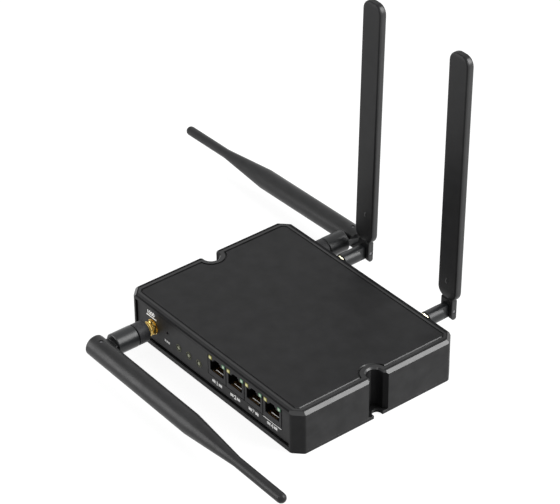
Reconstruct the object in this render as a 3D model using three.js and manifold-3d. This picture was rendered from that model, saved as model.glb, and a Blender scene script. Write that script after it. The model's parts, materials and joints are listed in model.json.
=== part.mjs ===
// Wireless router: a flat plastic housing with four network sockets on the front panel,
// two round whip aerials and two flat blade aerials on threaded aerial sockets.
//
// Millimetres, +Z up. +X runs to the right along the front panel, +Y runs from the front
// panel to the rear panel. The origin is the middle of the housing's underside.

import * as THREE from 'three';
import { mergeVertices } from 'three/addons/utils/BufferGeometryUtils.js';
import Module from 'manifold-3d';

const wasm = await Module();
wasm.setup();

// ---------------------------------------------------------------- housing
const HOUSING_DEPTH = 112;
const CORNER_POST_WIDTH = 7.1;
const CORNER_CUT = 5.5;
const TOP_CHAMFER = 1.7;
const END_CHAMFER = 0.7;
const TOP_WALL = 2.6;
const SIDE_WALL = 2.4;
const END_WALL = 2.0;
const CORNER_WALL = 1.55;
const BASE_THICKNESS = 2.0;

// Fine channel that runs round the top face and round the notches.
const GROOVE_WIDTH = 1.0;
const GROOVE_DEPTH = 0.8;
const GROOVE_SIDE_INSET = 4.8;
const GROOVE_END_INSET = 3.8;
const GROOVE_NOTCH_INSET = 3.3;

// Wall-mounting notches, one in the middle of each side, with a screw slot in the base.
const NOTCH_DEPTH = 8.3;
const NOTCH_HALF_WIDTH = 4.7;
const NOTCH_FLARE = 2.2;
const NOTCH_CHAMFER = 0.9;
const NOTCH_WALL = 2.0;
const SLOT_HALF_WIDTH = 3.0;
const SLOT_DEPTH = 4.2;

// Front and rear panels, held between the corner posts, the top and the base.
const PANEL_RECESS = 1.0;
const PANEL_BACK_THICKNESS = 1.6;
const PANEL_OVERLAP = 1.2;
const PANEL_SIDE_GAP = 0.8;
const PANEL_FOOT_GAP = 1.1;
const PANEL_CLEARANCE = 0.2;
const LIP_HEIGHT = 1.0;
const LIP_THICKNESS = 1.1;
const RIB_THICKNESS = 1.5;
const TOP_RIB_HEIGHT = 1.0;
const BASE_RIB_HEIGHT = 2.2;
const RIB_END_INSET = 9.9;

// Screws from below into posts that hang from the top cover.
const POST_RADIUS = 3.1;
const POST_SIDE_GAP = 2.2;
const POST_END_INSET = 16;
const SCREW_RADIUS = 1.2;
const SCREW_LENGTH = 11;
const SCREW_HEAD_RADIUS = 2.7;
const SCREW_HEAD_HEIGHT = 1.0;
const SCREW_HEAD_SINK = 0.2;
const SCREW_CLEARANCE = 0.3;
const DRIVE_SLOT_WIDTH = 0.8;
const DRIVE_SLOT_DEPTH = 0.6;

// ---------------------------------------------------------------- board
const BOARD_THICKNESS = 1.6;
const STANDOFF_HEIGHT = 6.8;
const BOARD_SIDE_GAP = 0.7;
const BOARD_END_GAP = 2.7;
const STANDOFF_SIDE_INSET = 4;
const STANDOFF_FRONT_INSET = 22.5;
const STANDOFF_REAR_INSET = 9.5;
const STANDOFF_RADIUS = 3;
const STAKE_RADIUS = 1.3;
const STAKE_HEIGHT = 1.0;
const STAKE_CLEARANCE = 0.3;

const SHIELD_SIZE = 24;
const SHIELD_HEIGHT = 2.5;
const SHIELD_X = 22;
const SHIELD_Y = 2;
const MODEM_WIDTH = 30;
const MODEM_DEPTH = 42;
const MODEM_HEIGHT = 4.5;
const MODEM_X = -24;
const MODEM_Y = 4;

// ---------------------------------------------------------------- network sockets
const PORT_COUNT = 4;
const PORT_PITCH = 15.93;
const PORT_WIDTH = 15.4;
const PORT_HEIGHT = 13;
const PORT_DEPTH = 21.3;
const PORT_CUTOUT_GAP = 0.3;
const PORT_HEADROOM = 1.0;
const SOCKET_WIDTH = 11.7;
const SOCKET_FLOOR = 3.4;
const SOCKET_HEIGHT = 6.6;
const SOCKET_DEPTH = 13;
const LATCH_WIDTH = 6.2;
const LATCH_HEIGHT = 1.0;
const LATCH_TOP_WIDTH = 4.0;
const LATCH_TOP_HEIGHT = 0.9;
const LED_OFFSET = 5.75;
const LED_WIDTH = 2.4;
const LED_HEIGHT = 2.2;
const LED_LENGTH = 6;
const LED_RISE = 11.5;
const LED_PROUD = 0.15;
const LED_CLEARANCE = 0.15;
const CONTACT_COUNT = 8;
const CONTACT_PITCH = 1.02;
const CONTACT_WIDTH = 0.5;
const CONTACT_THICKNESS = 0.45;
const CONTACT_FRONT = 3;
const CONTACT_RISE = 1.2;
const CONTACT_BAR = 1.3;
const CONTACT_CLEARANCE = 0.25;

// ---------------------------------------------------------------- panel fittings
// Spacings along the front panel, from the left end of its opening to the right end.
const FRONT_SOCKET_INSET = 14.8;
const SOCKET_TO_RESET = 13.5;
const RESET_TO_STATUS = 10.2;
const STATUS_PITCH = 9.2;
const STATUS_TO_PORT = 16.05;
const PORT_INSET = 15.06;

const STATUS_COUNT = 3;
const STATUS_RISE = 1.4;
const STATUS_RADIUS = 1.1;
const STATUS_CLEARANCE = 0.2;
const STATUS_FLANGE = 0.7;
const STATUS_FLANGE_LENGTH = 1.2;
const STATUS_LENGTH = 7;
const STATUS_PROUD = 0.2;

const RESET_RISE = 5.6;
const RESET_HOLE_RADIUS = 0.9;
const RESET_SETBACK = 1.2;
const RESET_PLUNGER_RADIUS = 1.6;
const RESET_PLUNGER_LENGTH = 5;
const RESET_PLUNGER_GUIDED = 2;
const RESET_TRAVEL = 0.3;
const RESET_CLEARANCE = 0.2;
const RESET_BODY_WIDTH = 6;
const RESET_BODY_DEPTH = 4.5;
const RESET_BODY_TOP = 2.9;

const POWER_WIDTH = 9;
const POWER_HEIGHT = 11;
const POWER_DEPTH = 14;
const POWER_BORE_RADIUS = 3.2;
const POWER_BORE_DEPTH = 9.5;
const POWER_PIN_RADIUS = 1.0;
const POWER_PIN_SETBACK = 1.5;
const POWER_AXIS_RISE = 6;
const POWER_CLEARANCE = 0.3;

const SIM_WIDTH = 17;
const SIM_DEPTH = 17;
const SIM_HEIGHT = 3;
const SIM_SLOT_WIDTH = 15;
const SIM_SLOT_HEIGHT = 1.2;
const SIM_SLOT_DEPTH = 15;
const SIM_CLEARANCE = 0.3;

// ---------------------------------------------------------------- aerial sockets
const AERIAL_RISE = 2.6;

// Spacings along the rear panel, from the left end of its opening.
const REAR_WHIP_INSET = 16;
const WHIP_TO_BLADE = 16.3;
const BLADE_TO_SIM = 24.6;
const SIM_TO_INLET = 24;
const INLET_TO_BLADE = 24.7;

const THREAD_RADIUS = 3.15;
const THREAD_SETBACK = 0.6;
const SOCKET_BORE_RADIUS = 2.0;
const SOCKET_BORE_DEPTH = 5;
const SOCKET_BLOCK = 6.4;
const SOCKET_BLOCK_DEPTH = 2.2;
const SOCKET_TONGUE_WIDTH = 5.2;
const SOCKET_TONGUE_LENGTH = 4;
const SOCKET_TONGUE_THICKNESS = 1.0;
const THREAD_CLEARANCE = 0.3;
const NUT_FLATS = 8;
const NUT_LENGTH = 2.7;
const NUT_NECK_RADIUS = 3.95;
const NUT_NECK_LENGTH = 0.5;
const NUT_RING_RADIUS = 4.5;
const FRONT_WHIP_RING_LENGTH = 2.3;
const REAR_WHIP_RING_LENGTH = 1.4;
const BLADE_RING_LENGTH = 2.3;

// ---------------------------------------------------------------- aerials
const COUPLING_GAP = 0.3;
const COLLAR_LENGTH = 7.2;
const COLLAR_RADIUS = 6.3;
const COLLAR_EDGE = 0.4;
const BLADE_NUT_LENGTH = 5.2;
const BLADE_NUT_FLATS = 8;
const PLUG_RADIUS = 1.6;
const PLUG_LENGTH = 4.5;
const PIN_RADIUS = 1.0;
const PIN_CLEARANCE = 0.15;
const HINGE_SIDE_GAP = 0.3;
const HINGE_END_GAP = 0.4;

const WHIP_BARREL_RADIUS = 6.4;
const WHIP_BARREL_LENGTH = 14.1;
const WHIP_TONGUE = 4.2;
const WHIP_TONGUE_RADIUS = 4.8;
const WHIP_RADIUS = 6.35;
const WHIP_TIP_RADIUS = 2.95;
const WHIP_LENGTH = 160;
const WHIP_BODY_LENGTH = 81.5;
const WHIP_TAPER_LENGTH = 39;
const WHIP_EAR_REACH = 7.2;
const WHIP_EDGE = 1.0;
const WHIP_PIN_SINK = 0.6;
const WHIP_DROOP = 1.15;

const BLADE_BARREL_RADIUS = 4.5;
const BLADE_1_BARREL_LENGTH = 11.9;
const BLADE_2_BARREL_LENGTH = 10.6;
const BLADE_TONGUE = 4.0;
const BLADE_TONGUE_RADIUS = 4.2;
const BLADE_EAR_REACH = 5.4;
const BLADE_EAR_GAP = 1.2;
const BLADE_FORK_HALF_WIDTH = 4.8;
const BLADE_FORK_HALF_DEPTH = 2.0;
const BLADE_FORK_TOP = 6.8;
const BLADE_NECK_INSET = 0.5;
const BLADE_NECK_LENGTH = 1.2;
const BLADE_FOOT_OVERHANG = 0.3;
const BLADE_FLARE_LENGTH = 5.4;
const BLADE_HALF_WIDTH = 7.7;
const BLADE_HALF_DEPTH = 2.4;
const BLADE_EDGE = 1.5;
const BLADE_FORK_EDGE = 0.75;
const BLADE_TOP_RADIUS = 6;
const BLADE_LENGTH = 164;
const BLADE_PIN_SINK = 0.2;
const BLADE_1_LEAN = 1.1;
const BLADE_2_LEAN = 0.5;
const BLADE_RECLINE = 0.6;

// ---------------------------------------------------------------- derived places
const OPENING_WIDTH = FRONT_SOCKET_INSET + SOCKET_TO_RESET + RESET_TO_STATUS
  + STATUS_PITCH * (STATUS_COUNT - 1) + STATUS_TO_PORT + PORT_PITCH * (PORT_COUNT - 1) + PORT_INSET;
const OPENING_HALF_WIDTH = OPENING_WIDTH / 2;
const HALF_W = OPENING_HALF_WIDTH + CORNER_POST_WIDTH;
const HALF_D = HOUSING_DEPTH / 2;
const BOARD_BOTTOM = BASE_THICKNESS + STANDOFF_HEIGHT;
const BOARD_TOP = BOARD_BOTTOM + BOARD_THICKNESS;
const CEILING = BOARD_TOP + PORT_HEIGHT + PORT_HEADROOM;
const HOUSING_HEIGHT = CEILING + TOP_WALL;
const PANEL_FACE_Y = HALF_D - PANEL_RECESS;
const PANEL_STEP_Y = HALF_D - END_WALL - PANEL_CLEARANCE;
const PANEL_INNER_Y = PANEL_STEP_Y - PANEL_BACK_THICKNESS;
const PANEL_THICKNESS = PANEL_FACE_Y - PANEL_INNER_Y;
const LIP_TOP = BASE_THICKNESS + LIP_HEIGHT;
const SCREW_X = HALF_W - SIDE_WALL - POST_SIDE_GAP - POST_RADIUS;
const SCREW_Y = HALF_D - POST_END_INSET;
const BOARD_HALF_WIDTH = SCREW_X - POST_RADIUS - BOARD_SIDE_GAP;
const BOARD_HALF_DEPTH = PANEL_INNER_Y - BOARD_END_GAP;
const SCREW_HEAD_TOP = SCREW_HEAD_SINK + SCREW_HEAD_HEIGHT;
const AERIAL_Z = BOARD_TOP + AERIAL_RISE;
const STATUS_Z = BOARD_TOP + STATUS_RISE;
const RESET_Z = BOARD_TOP + RESET_RISE;
const FRONT_SOCKET_X = FRONT_SOCKET_INSET - OPENING_HALF_WIDTH;
const RESET_X = FRONT_SOCKET_X + SOCKET_TO_RESET;
const FIRST_STATUS_X = RESET_X + RESET_TO_STATUS;
const FIRST_PORT_X = FIRST_STATUS_X + STATUS_PITCH * (STATUS_COUNT - 1) + STATUS_TO_PORT;
const REAR_WHIP_X = REAR_WHIP_INSET - OPENING_HALF_WIDTH;
const BLADE_1_X = REAR_WHIP_X + WHIP_TO_BLADE;
const SIM_X = BLADE_1_X + BLADE_TO_SIM;
const POWER_X = SIM_X + SIM_TO_INLET;
const BLADE_2_X = POWER_X + INLET_TO_BLADE;
const OVER = 2;
const ROUND = 28;
const FINE_ROUND = 20;

// Stations along an aerial's axis, out from the panel's face: the nut with its ring, the
// coupling that screws onto the thread, the end of the thread and the start of the barrel.
function aerialSeat(ringLength, couplingLength) {
  const ringEnd = NUT_LENGTH + NUT_NECK_LENGTH + ringLength;
  const couplingStart = ringEnd + COUPLING_GAP;
  const couplingEnd = couplingStart + couplingLength;
  return {
    ringEnd,
    couplingStart,
    couplingEnd,
    threadEnd: couplingEnd - THREAD_SETBACK,
    barrelStart: couplingEnd + COUPLING_GAP,
  };
}

const FRONT_WHIP_SEAT = aerialSeat(FRONT_WHIP_RING_LENGTH, COLLAR_LENGTH);
const REAR_WHIP_SEAT = aerialSeat(REAR_WHIP_RING_LENGTH, COLLAR_LENGTH);
const BLADE_SEAT = aerialSeat(BLADE_RING_LENGTH, BLADE_NUT_LENGTH);

// ---------------------------------------------------------------- solids

// A closed three.js geometry as a manifold solid.
function solid(geometry) {
  const bare = geometry.index ? geometry.toNonIndexed() : geometry.clone();
  bare.deleteAttribute('normal');
  bare.deleteAttribute('uv');
  const merged = mergeVertices(bare, 1e-5);
  const mesh = new wasm.Mesh({
    numProp: 3,
    vertProperties: new Float32Array(merged.attributes.position.array),
    triVerts: new Uint32Array(merged.index.array),
  });
  return new wasm.Manifold(mesh);
}

// A manifold solid as a named mesh.
function mesh(name, body, look) {
  const data = body.getMesh();
  const geometry = new THREE.BufferGeometry();
  geometry.setAttribute('position', new THREE.BufferAttribute(data.vertProperties, 3));
  geometry.setIndex(new THREE.BufferAttribute(data.triVerts, 1));
  geometry.computeVertexNormals();
  const result = new THREE.Mesh(geometry, new THREE.MeshStandardMaterial(look));
  result.name = name;
  return result;
}

function unite(first, ...rest) {
  return rest.reduce((sum, body) => sum.add(body), first);
}

function cut(first, ...tools) {
  return tools.reduce((rest, tool) => rest.subtract(tool), first);
}

// A box between two corners.
function box(x0, x1, y0, y1, z0, z1) {
  const geometry = new THREE.BoxGeometry(x1 - x0, y1 - y0, z1 - z0);
  geometry.translate((x0 + x1) / 2, (y0 + y1) / 2, (z0 + z1) / 2);
  return solid(geometry);
}

// A profile of [radius, station] pairs turned about an axis ('x', 'y' or 'z').
function turned(profile, axis, segments = ROUND) {
  const points = profile.map(([radius, station]) => new THREE.Vector2(radius, station));
  const geometry = new THREE.LatheGeometry(points, segments);
  if (axis === 'x') geometry.rotateZ(-Math.PI / 2);
  if (axis === 'z') geometry.rotateX(Math.PI / 2);
  return solid(geometry);
}

// A round rod along an axis from one station to another.
function rod(radius, from, to, axis, segments = ROUND) {
  return turned([[0, from], [radius, from], [radius, to], [0, to]], axis, segments);
}

// A hexagonal rod, stated across its flats, along Y.
function hexRod(flats, from, to) {
  return rod(flats / Math.sqrt(3), from, to, 'y', 6);
}

// An upright prism over a plan outline of [x, y] points.
function prism(outline, z0, z1) {
  const shape = new THREE.Shape(outline.map(([x, y]) => new THREE.Vector2(x, y)));
  const geometry = new THREE.ExtrudeGeometry(shape, { depth: z1 - z0, bevelEnabled: false });
  geometry.translate(0, 0, z0);
  return solid(geometry);
}

// A body through a stack of outlines with equal point counts, given as [outline, z].
function lofted(levels) {
  const count = levels[0][0].length;
  const positions = levels.flatMap(([outline, z]) => outline.flatMap(([x, y]) => [x, y, z]));
  const index = [];
  for (let level = 0; level + 1 < levels.length; level += 1) {
    for (let k = 0; k < count; k += 1) {
      const a = level * count + k;
      const b = level * count + ((k + 1) % count);
      index.push(a, b, b + count, a, b + count, a + count);
    }
  }
  const flat = (outline) => outline.map(([x, y]) => new THREE.Vector2(x, y));
  const last = (levels.length - 1) * count;
  for (const [a, b, c] of THREE.ShapeUtils.triangulateShape(flat(levels[0][0]), [])) {
    index.push(a, c, b);
  }
  for (const [a, b, c] of THREE.ShapeUtils.triangulateShape(flat(levels.at(-1)[0]), [])) {
    index.push(last + a, last + b, last + c);
  }
  const geometry = new THREE.BufferGeometry();
  geometry.setAttribute('position', new THREE.Float32BufferAttribute(positions, 3));
  geometry.setIndex(index);
  return solid(geometry);
}

// ---------------------------------------------------------------- outlines

// Rectangle with its four corners cut at 45 degrees.
function octagon(halfX, halfY, corner) {
  return [
    [halfX, -halfY + corner], [halfX, halfY - corner],
    [halfX - corner, halfY], [-halfX + corner, halfY],
    [-halfX, halfY - corner], [-halfX, -halfY + corner],
    [-halfX + corner, -halfY], [halfX - corner, -halfY],
  ];
}

// The housing outline moved inwards, by its own amount at the sides, ends and cut corners.
function housingOutline(sideInset, endInset, cornerInset) {
  const corner = CORNER_CUT + Math.SQRT2 * cornerInset - sideInset - endInset;
  return octagon(HALF_W - sideInset, HALF_D - endInset, corner);
}

// Plan of a side notch: flared mouth, straight sides and a round inner end.
function notchOutline(side, grow) {
  const half = NOTCH_HALF_WIDTH + grow;
  const centre = HALF_W - NOTCH_DEPTH + NOTCH_HALF_WIDTH;
  const mouth = half + NOTCH_FLARE + OVER + grow * (Math.SQRT2 - 1);
  const bend = HALF_W - NOTCH_FLARE - grow * (Math.SQRT2 - 1);
  const points = [[HALF_W + OVER, -mouth], [bend, -half]];
  const steps = 12;
  for (let k = 0; k <= steps; k += 1) {
    const angle = -Math.PI / 2 - (Math.PI * k) / steps;
    points.push([centre + half * Math.cos(angle), half * Math.sin(angle)]);
  }
  points.push([bend, half], [HALF_W + OVER, mouth]);
  if (side < 0) return points.map(([x, y]) => [-x, y]);
  return points.reverse();
}

// Screw slot in the base flange, open at the side of the housing.
function slotOutline(side) {
  const centre = HALF_W - SLOT_DEPTH + SLOT_HALF_WIDTH;
  const points = [[HALF_W + OVER, -SLOT_HALF_WIDTH]];
  const steps = 10;
  for (let k = 0; k <= steps; k += 1) {
    const angle = -Math.PI / 2 - (Math.PI * k) / steps;
    points.push([centre + SLOT_HALF_WIDTH * Math.cos(angle), SLOT_HALF_WIDTH * Math.sin(angle)]);
  }
  points.push([HALF_W + OVER, SLOT_HALF_WIDTH]);
  if (side < 0) return points.map(([x, y]) => [-x, y]);
  return points.reverse();
}

// Rectangle with rounded corners, the same number of points at every size.
function roundedRectangle(halfX, halfY, radius) {
  const points = [];
  const steps = 4;
  const corners = [[1, -1], [1, 1], [-1, 1], [-1, -1]];
  corners.forEach(([sx, sy], quarter) => {
    for (let k = 0; k <= steps; k += 1) {
      const angle = (Math.PI / 2) * (quarter - 1 + k / steps);
      const x = sx * (halfX - radius) + radius * Math.cos(angle);
      const y = sy * (halfY - radius) + radius * Math.sin(angle);
      points.push([x, y]);
    }
  });
  return points;
}

// ---------------------------------------------------------------- looks
const SHELL = { color: 0x2b2c2d, roughness: 0.5, metalness: 0 };
const PANEL = { color: 0x303132, roughness: 0.55, metalness: 0 };
const BOARD = { color: 0x1d5a35, roughness: 0.5, metalness: 0 };
const TIN = { color: 0xb9bcc0, roughness: 0.35, metalness: 1 };
const PORT = { color: 0x222324, roughness: 0.55, metalness: 0 };
const GOLD = { color: 0xd6a84a, roughness: 0.28, metalness: 1 };
const NICKEL = { color: 0xc9c6bb, roughness: 0.25, metalness: 1 };
const YELLOW_LENS = { color: 0xd8d070, roughness: 0.3, metalness: 0 };
const GREEN_LENS = { color: 0x9fd0a8, roughness: 0.3, metalness: 0 };
const STATUS_LENS = { color: 0x8f9a6a, roughness: 0.3, metalness: 0 };
const SCREW = { color: 0x202123, roughness: 0.35, metalness: 1 };
const SWITCH = { color: 0x1b1b1c, roughness: 0.5, metalness: 0 };
const PLUNGER = { color: 0xe2ded2, roughness: 0.5, metalness: 0 };
const COLLAR = { color: 0x38393b, roughness: 0.75, metalness: 0 };
const BARREL = { color: 0x3c3e40, roughness: 0.3, metalness: 0 };
const RUBBER = { color: 0x2e2f30, roughness: 0.6, metalness: 0 };
const STEEL = { color: 0x8e9093, roughness: 0.35, metalness: 1 };

// ---------------------------------------------------------------- housing pieces

function screwPlaces() {
  return [[1, -1], [1, 1], [-1, 1], [-1, -1]].map(([sx, sy]) => [sx * SCREW_X, sy * SCREW_Y]);
}

function at(body, x, y, z = 0) {
  return body.translate([x, y, z]);
}

// The channel round the top face, which also runs round the notches.
function topGroove() {
  const floor = HOUSING_HEIGHT - GROOVE_DEPTH;
  const top = HOUSING_HEIGHT + OVER;
  const region = (grow) => cut(
    prism(housingOutline(GROOVE_SIDE_INSET + grow, GROOVE_END_INSET + grow, GROOVE_END_INSET + grow),
      floor, top),
    prism(notchOutline(1, GROOVE_NOTCH_INSET + grow), floor - OVER, top + OVER),
    prism(notchOutline(-1, GROOVE_NOTCH_INSET + grow), floor - OVER, top + OVER),
  );
  return cut(region(0), region(GROOVE_WIDTH));
}

function notchCutter(side) {
  const edge = HOUSING_HEIGHT - NOTCH_CHAMFER;
  return lofted([
    [notchOutline(side, 0), BASE_THICKNESS - OVER],
    [notchOutline(side, 0), edge],
    [notchOutline(side, NOTCH_CHAMFER + OVER), HOUSING_HEIGHT + OVER],
  ]);
}

// Open top cover: top face, side walls, corner posts, notch walls, screw posts and ribs.
function topCover() {
  const step = TOP_CHAMFER - END_CHAMFER;
  const outside = lofted([
    [housingOutline(0, 0, 0), BASE_THICKNESS],
    [housingOutline(0, 0, 0), HOUSING_HEIGHT - TOP_CHAMFER],
    [housingOutline(step, 0, step), HOUSING_HEIGHT - END_CHAMFER],
    [housingOutline(TOP_CHAMFER, END_CHAMFER, TOP_CHAMFER), HOUSING_HEIGHT],
  ]);
  const hollow = cut(
    prism(housingOutline(SIDE_WALL, END_WALL, CORNER_WALL), 0, CEILING),
    prism(notchOutline(1, NOTCH_WALL), -OVER, HOUSING_HEIGHT),
    prism(notchOutline(-1, NOTCH_WALL), -OVER, HOUSING_HEIGHT),
  );
  const opening = box(-OPENING_HALF_WIDTH, OPENING_HALF_WIDTH, -HALF_D - OVER, HALF_D + OVER,
    BASE_THICKNESS - OVER, CEILING);
  const between = box(-HALF_W, HALF_W, -HALF_D + END_WALL, HALF_D - END_WALL,
    -OVER, HOUSING_HEIGHT);
  const ribHalf = OPENING_HALF_WIDTH - RIB_END_INSET;
  let cover = cut(outside, hollow, cut(opening, between), topGroove());
  for (const side of [1, -1]) {
    cover = cut(cover, notchCutter(side));
    const inner = PANEL_INNER_Y - PANEL_CLEARANCE;
    const rib = [side * inner, side * (inner - RIB_THICKNESS)].sort((a, b) => a - b);
    cover = unite(cover, box(-ribHalf, ribHalf, rib[0], rib[1],
      CEILING - TOP_RIB_HEIGHT, CEILING + TOP_WALL / 4));
  }
  for (const [x, y] of screwPlaces()) {
    const post = rod(POST_RADIUS, BASE_THICKNESS, CEILING + TOP_WALL / 4, 'z', FINE_ROUND);
    const tip = SCREW_HEAD_TOP + SCREW_LENGTH + SCREW_CLEARANCE;
    const hole = rod(SCREW_RADIUS + SCREW_CLEARANCE, BASE_THICKNESS - OVER, tip, 'z', FINE_ROUND);
    cover = cut(unite(cover, at(post, x, y)), at(hole, x, y));
  }
  return mesh('top_cover', cover, SHELL);
}

function standoffPlaces() {
  const x = BOARD_HALF_WIDTH - STANDOFF_SIDE_INSET;
  const front = -BOARD_HALF_DEPTH + STANDOFF_FRONT_INSET;
  const rear = BOARD_HALF_DEPTH - STANDOFF_REAR_INSET;
  return [[x, front], [x, rear], [-x, rear], [-x, front]];
}

// Base plate with end lips, panel ribs, board standoffs, screw slots and sunk screw holes.
function bottomCover() {
  let base = prism(housingOutline(0, 0, 0), 0, BASE_THICKNESS);
  const lipHalf = OPENING_HALF_WIDTH - PANEL_CLEARANCE;
  const ribHalf = OPENING_HALF_WIDTH - RIB_END_INSET;
  const seat = BASE_THICKNESS / 2;
  for (const side of [1, -1]) {
    const lip = [side * HALF_D, side * (HALF_D - LIP_THICKNESS)].sort((a, b) => a - b);
    base = unite(base, box(-lipHalf, lipHalf, lip[0], lip[1], seat, LIP_TOP));
    const inner = PANEL_INNER_Y - PANEL_CLEARANCE;
    const rib = [side * inner, side * (inner - RIB_THICKNESS)].sort((a, b) => a - b);
    base = unite(base, box(-ribHalf, ribHalf, rib[0], rib[1],
      seat, BASE_THICKNESS + BASE_RIB_HEIGHT));
    base = cut(base, prism(slotOutline(side), -OVER, BASE_THICKNESS + OVER));
  }
  for (const [x, y] of standoffPlaces()) {
    const standoff = unite(
      rod(STANDOFF_RADIUS, seat, BOARD_BOTTOM, 'z', FINE_ROUND),
      rod(STAKE_RADIUS, BOARD_BOTTOM - seat, BOARD_TOP + STAKE_HEIGHT, 'z', FINE_ROUND),
    );
    base = unite(base, at(standoff, x, y));
  }
  for (const [x, y] of screwPlaces()) {
    const hole = unite(
      rod(SCREW_HEAD_RADIUS + SCREW_CLEARANCE, -OVER, SCREW_HEAD_TOP, 'z', FINE_ROUND),
      rod(SCREW_RADIUS + SCREW_CLEARANCE, 0, BASE_THICKNESS + OVER, 'z', FINE_ROUND),
    );
    base = cut(base, at(hole, x, y));
  }
  return mesh('bottom_cover', base, SHELL);
}

function coverScrew(index, x, y) {
  const tip = SCREW_HEAD_TOP + SCREW_LENGTH;
  const body = turned([
    [0, SCREW_HEAD_SINK], [SCREW_HEAD_RADIUS, SCREW_HEAD_SINK], [SCREW_HEAD_RADIUS, SCREW_HEAD_TOP],
    [SCREW_RADIUS, SCREW_HEAD_TOP], [SCREW_RADIUS, tip - SCREW_RADIUS], [0, tip],
  ], 'z', FINE_ROUND);
  const reach = SCREW_HEAD_RADIUS * 0.7;
  const half = DRIVE_SLOT_WIDTH / 2;
  const bottom = SCREW_HEAD_SINK - OVER;
  const top = SCREW_HEAD_SINK + DRIVE_SLOT_DEPTH;
  const drive = unite(
    box(-reach, reach, -half, half, bottom, top),
    box(-half, half, -reach, reach, bottom, top),
  );
  const screw = mesh(`cover_screw_${index}`, cut(body, drive), SCREW);
  screw.position.set(x, y, 0);
  return screw;
}

// A stepped panel blank: a face that fills the opening and a wider back held by the cover.
function panelBlank(side) {
  const faceHalf = OPENING_HALF_WIDTH - PANEL_SIDE_GAP;
  const backHalf = OPENING_HALF_WIDTH + PANEL_OVERLAP;
  const top = CEILING - PANEL_CLEARANCE;
  const face = [side * PANEL_FACE_Y, side * PANEL_INNER_Y].sort((a, b) => a - b);
  const back = [side * PANEL_STEP_Y, side * PANEL_INNER_Y].sort((a, b) => a - b);
  return unite(
    box(-faceHalf, faceHalf, face[0], face[1], LIP_TOP + PANEL_FOOT_GAP, top),
    box(-backHalf, backHalf, back[0], back[1], BASE_THICKNESS, top),
  );
}

function portX(index) {
  return FIRST_PORT_X + PORT_PITCH * index;
}

function statusX(index) {
  return FIRST_STATUS_X + STATUS_PITCH * index;
}

function frontPanel() {
  const gap = PORT_CUTOUT_GAP;
  const holes = [
    box(portX(0) - PORT_WIDTH / 2 - gap, portX(PORT_COUNT - 1) + PORT_WIDTH / 2 + gap,
      -HALF_D, 0, BOARD_TOP - gap, BOARD_TOP + PORT_HEIGHT + gap),
    at(rod(RESET_HOLE_RADIUS, -HALF_D, 0, 'y', FINE_ROUND), RESET_X, 0, RESET_Z),
    at(rod(THREAD_RADIUS + THREAD_CLEARANCE, -HALF_D, 0, 'y', FINE_ROUND),
      FRONT_SOCKET_X, 0, AERIAL_Z),
  ];
  for (let index = 0; index < STATUS_COUNT; index += 1) {
    const hole = rod(STATUS_RADIUS + STATUS_CLEARANCE, -HALF_D, 0, 'y', FINE_ROUND);
    holes.push(at(hole, statusX(index), 0, STATUS_Z));
  }
  return mesh('front_panel', cut(panelBlank(-1), ...holes), PANEL);
}

function rearPanel() {
  const holes = [REAR_WHIP_X, BLADE_1_X, BLADE_2_X].map((x) => at(
    rod(THREAD_RADIUS + THREAD_CLEARANCE, 0, HALF_D, 'y', FINE_ROUND), x, 0, AERIAL_Z));
  const powerHalf = POWER_WIDTH / 2 + POWER_CLEARANCE;
  holes.push(box(POWER_X - powerHalf, POWER_X + powerHalf, 0, HALF_D,
    BOARD_TOP - POWER_CLEARANCE, BOARD_TOP + POWER_HEIGHT + POWER_CLEARANCE));
  const simHalf = SIM_SLOT_WIDTH / 2 + SIM_CLEARANCE;
  const simLow = BOARD_TOP + (SIM_HEIGHT - SIM_SLOT_HEIGHT) / 2 - SIM_CLEARANCE;
  holes.push(box(SIM_X - simHalf, SIM_X + simHalf, 0, HALF_D,
    simLow, simLow + SIM_SLOT_HEIGHT + 2 * SIM_CLEARANCE));
  return mesh('rear_panel', cut(panelBlank(1), ...holes), PANEL);
}

// ---------------------------------------------------------------- board and its parts

function mainBoard() {
  let board = box(-BOARD_HALF_WIDTH, BOARD_HALF_WIDTH, -BOARD_HALF_DEPTH, BOARD_HALF_DEPTH,
    BOARD_BOTTOM, BOARD_TOP);
  for (const [x, y] of standoffPlaces()) {
    const hole = rod(STAKE_RADIUS + STAKE_CLEARANCE, BOARD_BOTTOM - OVER, BOARD_TOP + OVER,
      'z', FINE_ROUND);
    board = cut(board, at(hole, x, y));
  }
  return mesh('main_board', board, BOARD);
}

// A component that stands on the board.
function boardBlock(name, x, y, width, depth, height, look) {
  const block = box(-width / 2, width / 2, -depth / 2, depth / 2, 0, height);
  const result = mesh(name, block, look);
  result.position.set(x, y, BOARD_TOP);
  return result;
}

function portBody(index) {
  const half = PORT_WIDTH / 2;
  const socketTop = SOCKET_FLOOR + SOCKET_HEIGHT;
  let body = box(-half, half, 0, PORT_DEPTH, 0, PORT_HEIGHT);
  const latchTop = socketTop + LATCH_HEIGHT;
  const ledHalf = LED_WIDTH / 2 + LED_CLEARANCE;
  const ledLow = LED_RISE - LED_HEIGHT / 2 - LED_CLEARANCE;
  const ledHigh = LED_RISE + LED_HEIGHT / 2 + LED_CLEARANCE;
  body = cut(body,
    box(-SOCKET_WIDTH / 2, SOCKET_WIDTH / 2, -OVER, SOCKET_DEPTH, SOCKET_FLOOR, socketTop),
    box(-LATCH_WIDTH / 2, LATCH_WIDTH / 2, -OVER, SOCKET_DEPTH, SOCKET_FLOOR, latchTop),
    box(-LATCH_TOP_WIDTH / 2, LATCH_TOP_WIDTH / 2, -OVER, SOCKET_DEPTH, SOCKET_FLOOR,
      latchTop + LATCH_TOP_HEIGHT));
  for (const x of [-LED_OFFSET, LED_OFFSET]) {
    body = cut(body, box(x - ledHalf, x + ledHalf, -OVER, LED_LENGTH + LED_CLEARANCE,
      ledLow, ledHigh));
  }
  return mesh(`port_${index + 1}`, body, PORT);
}

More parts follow.
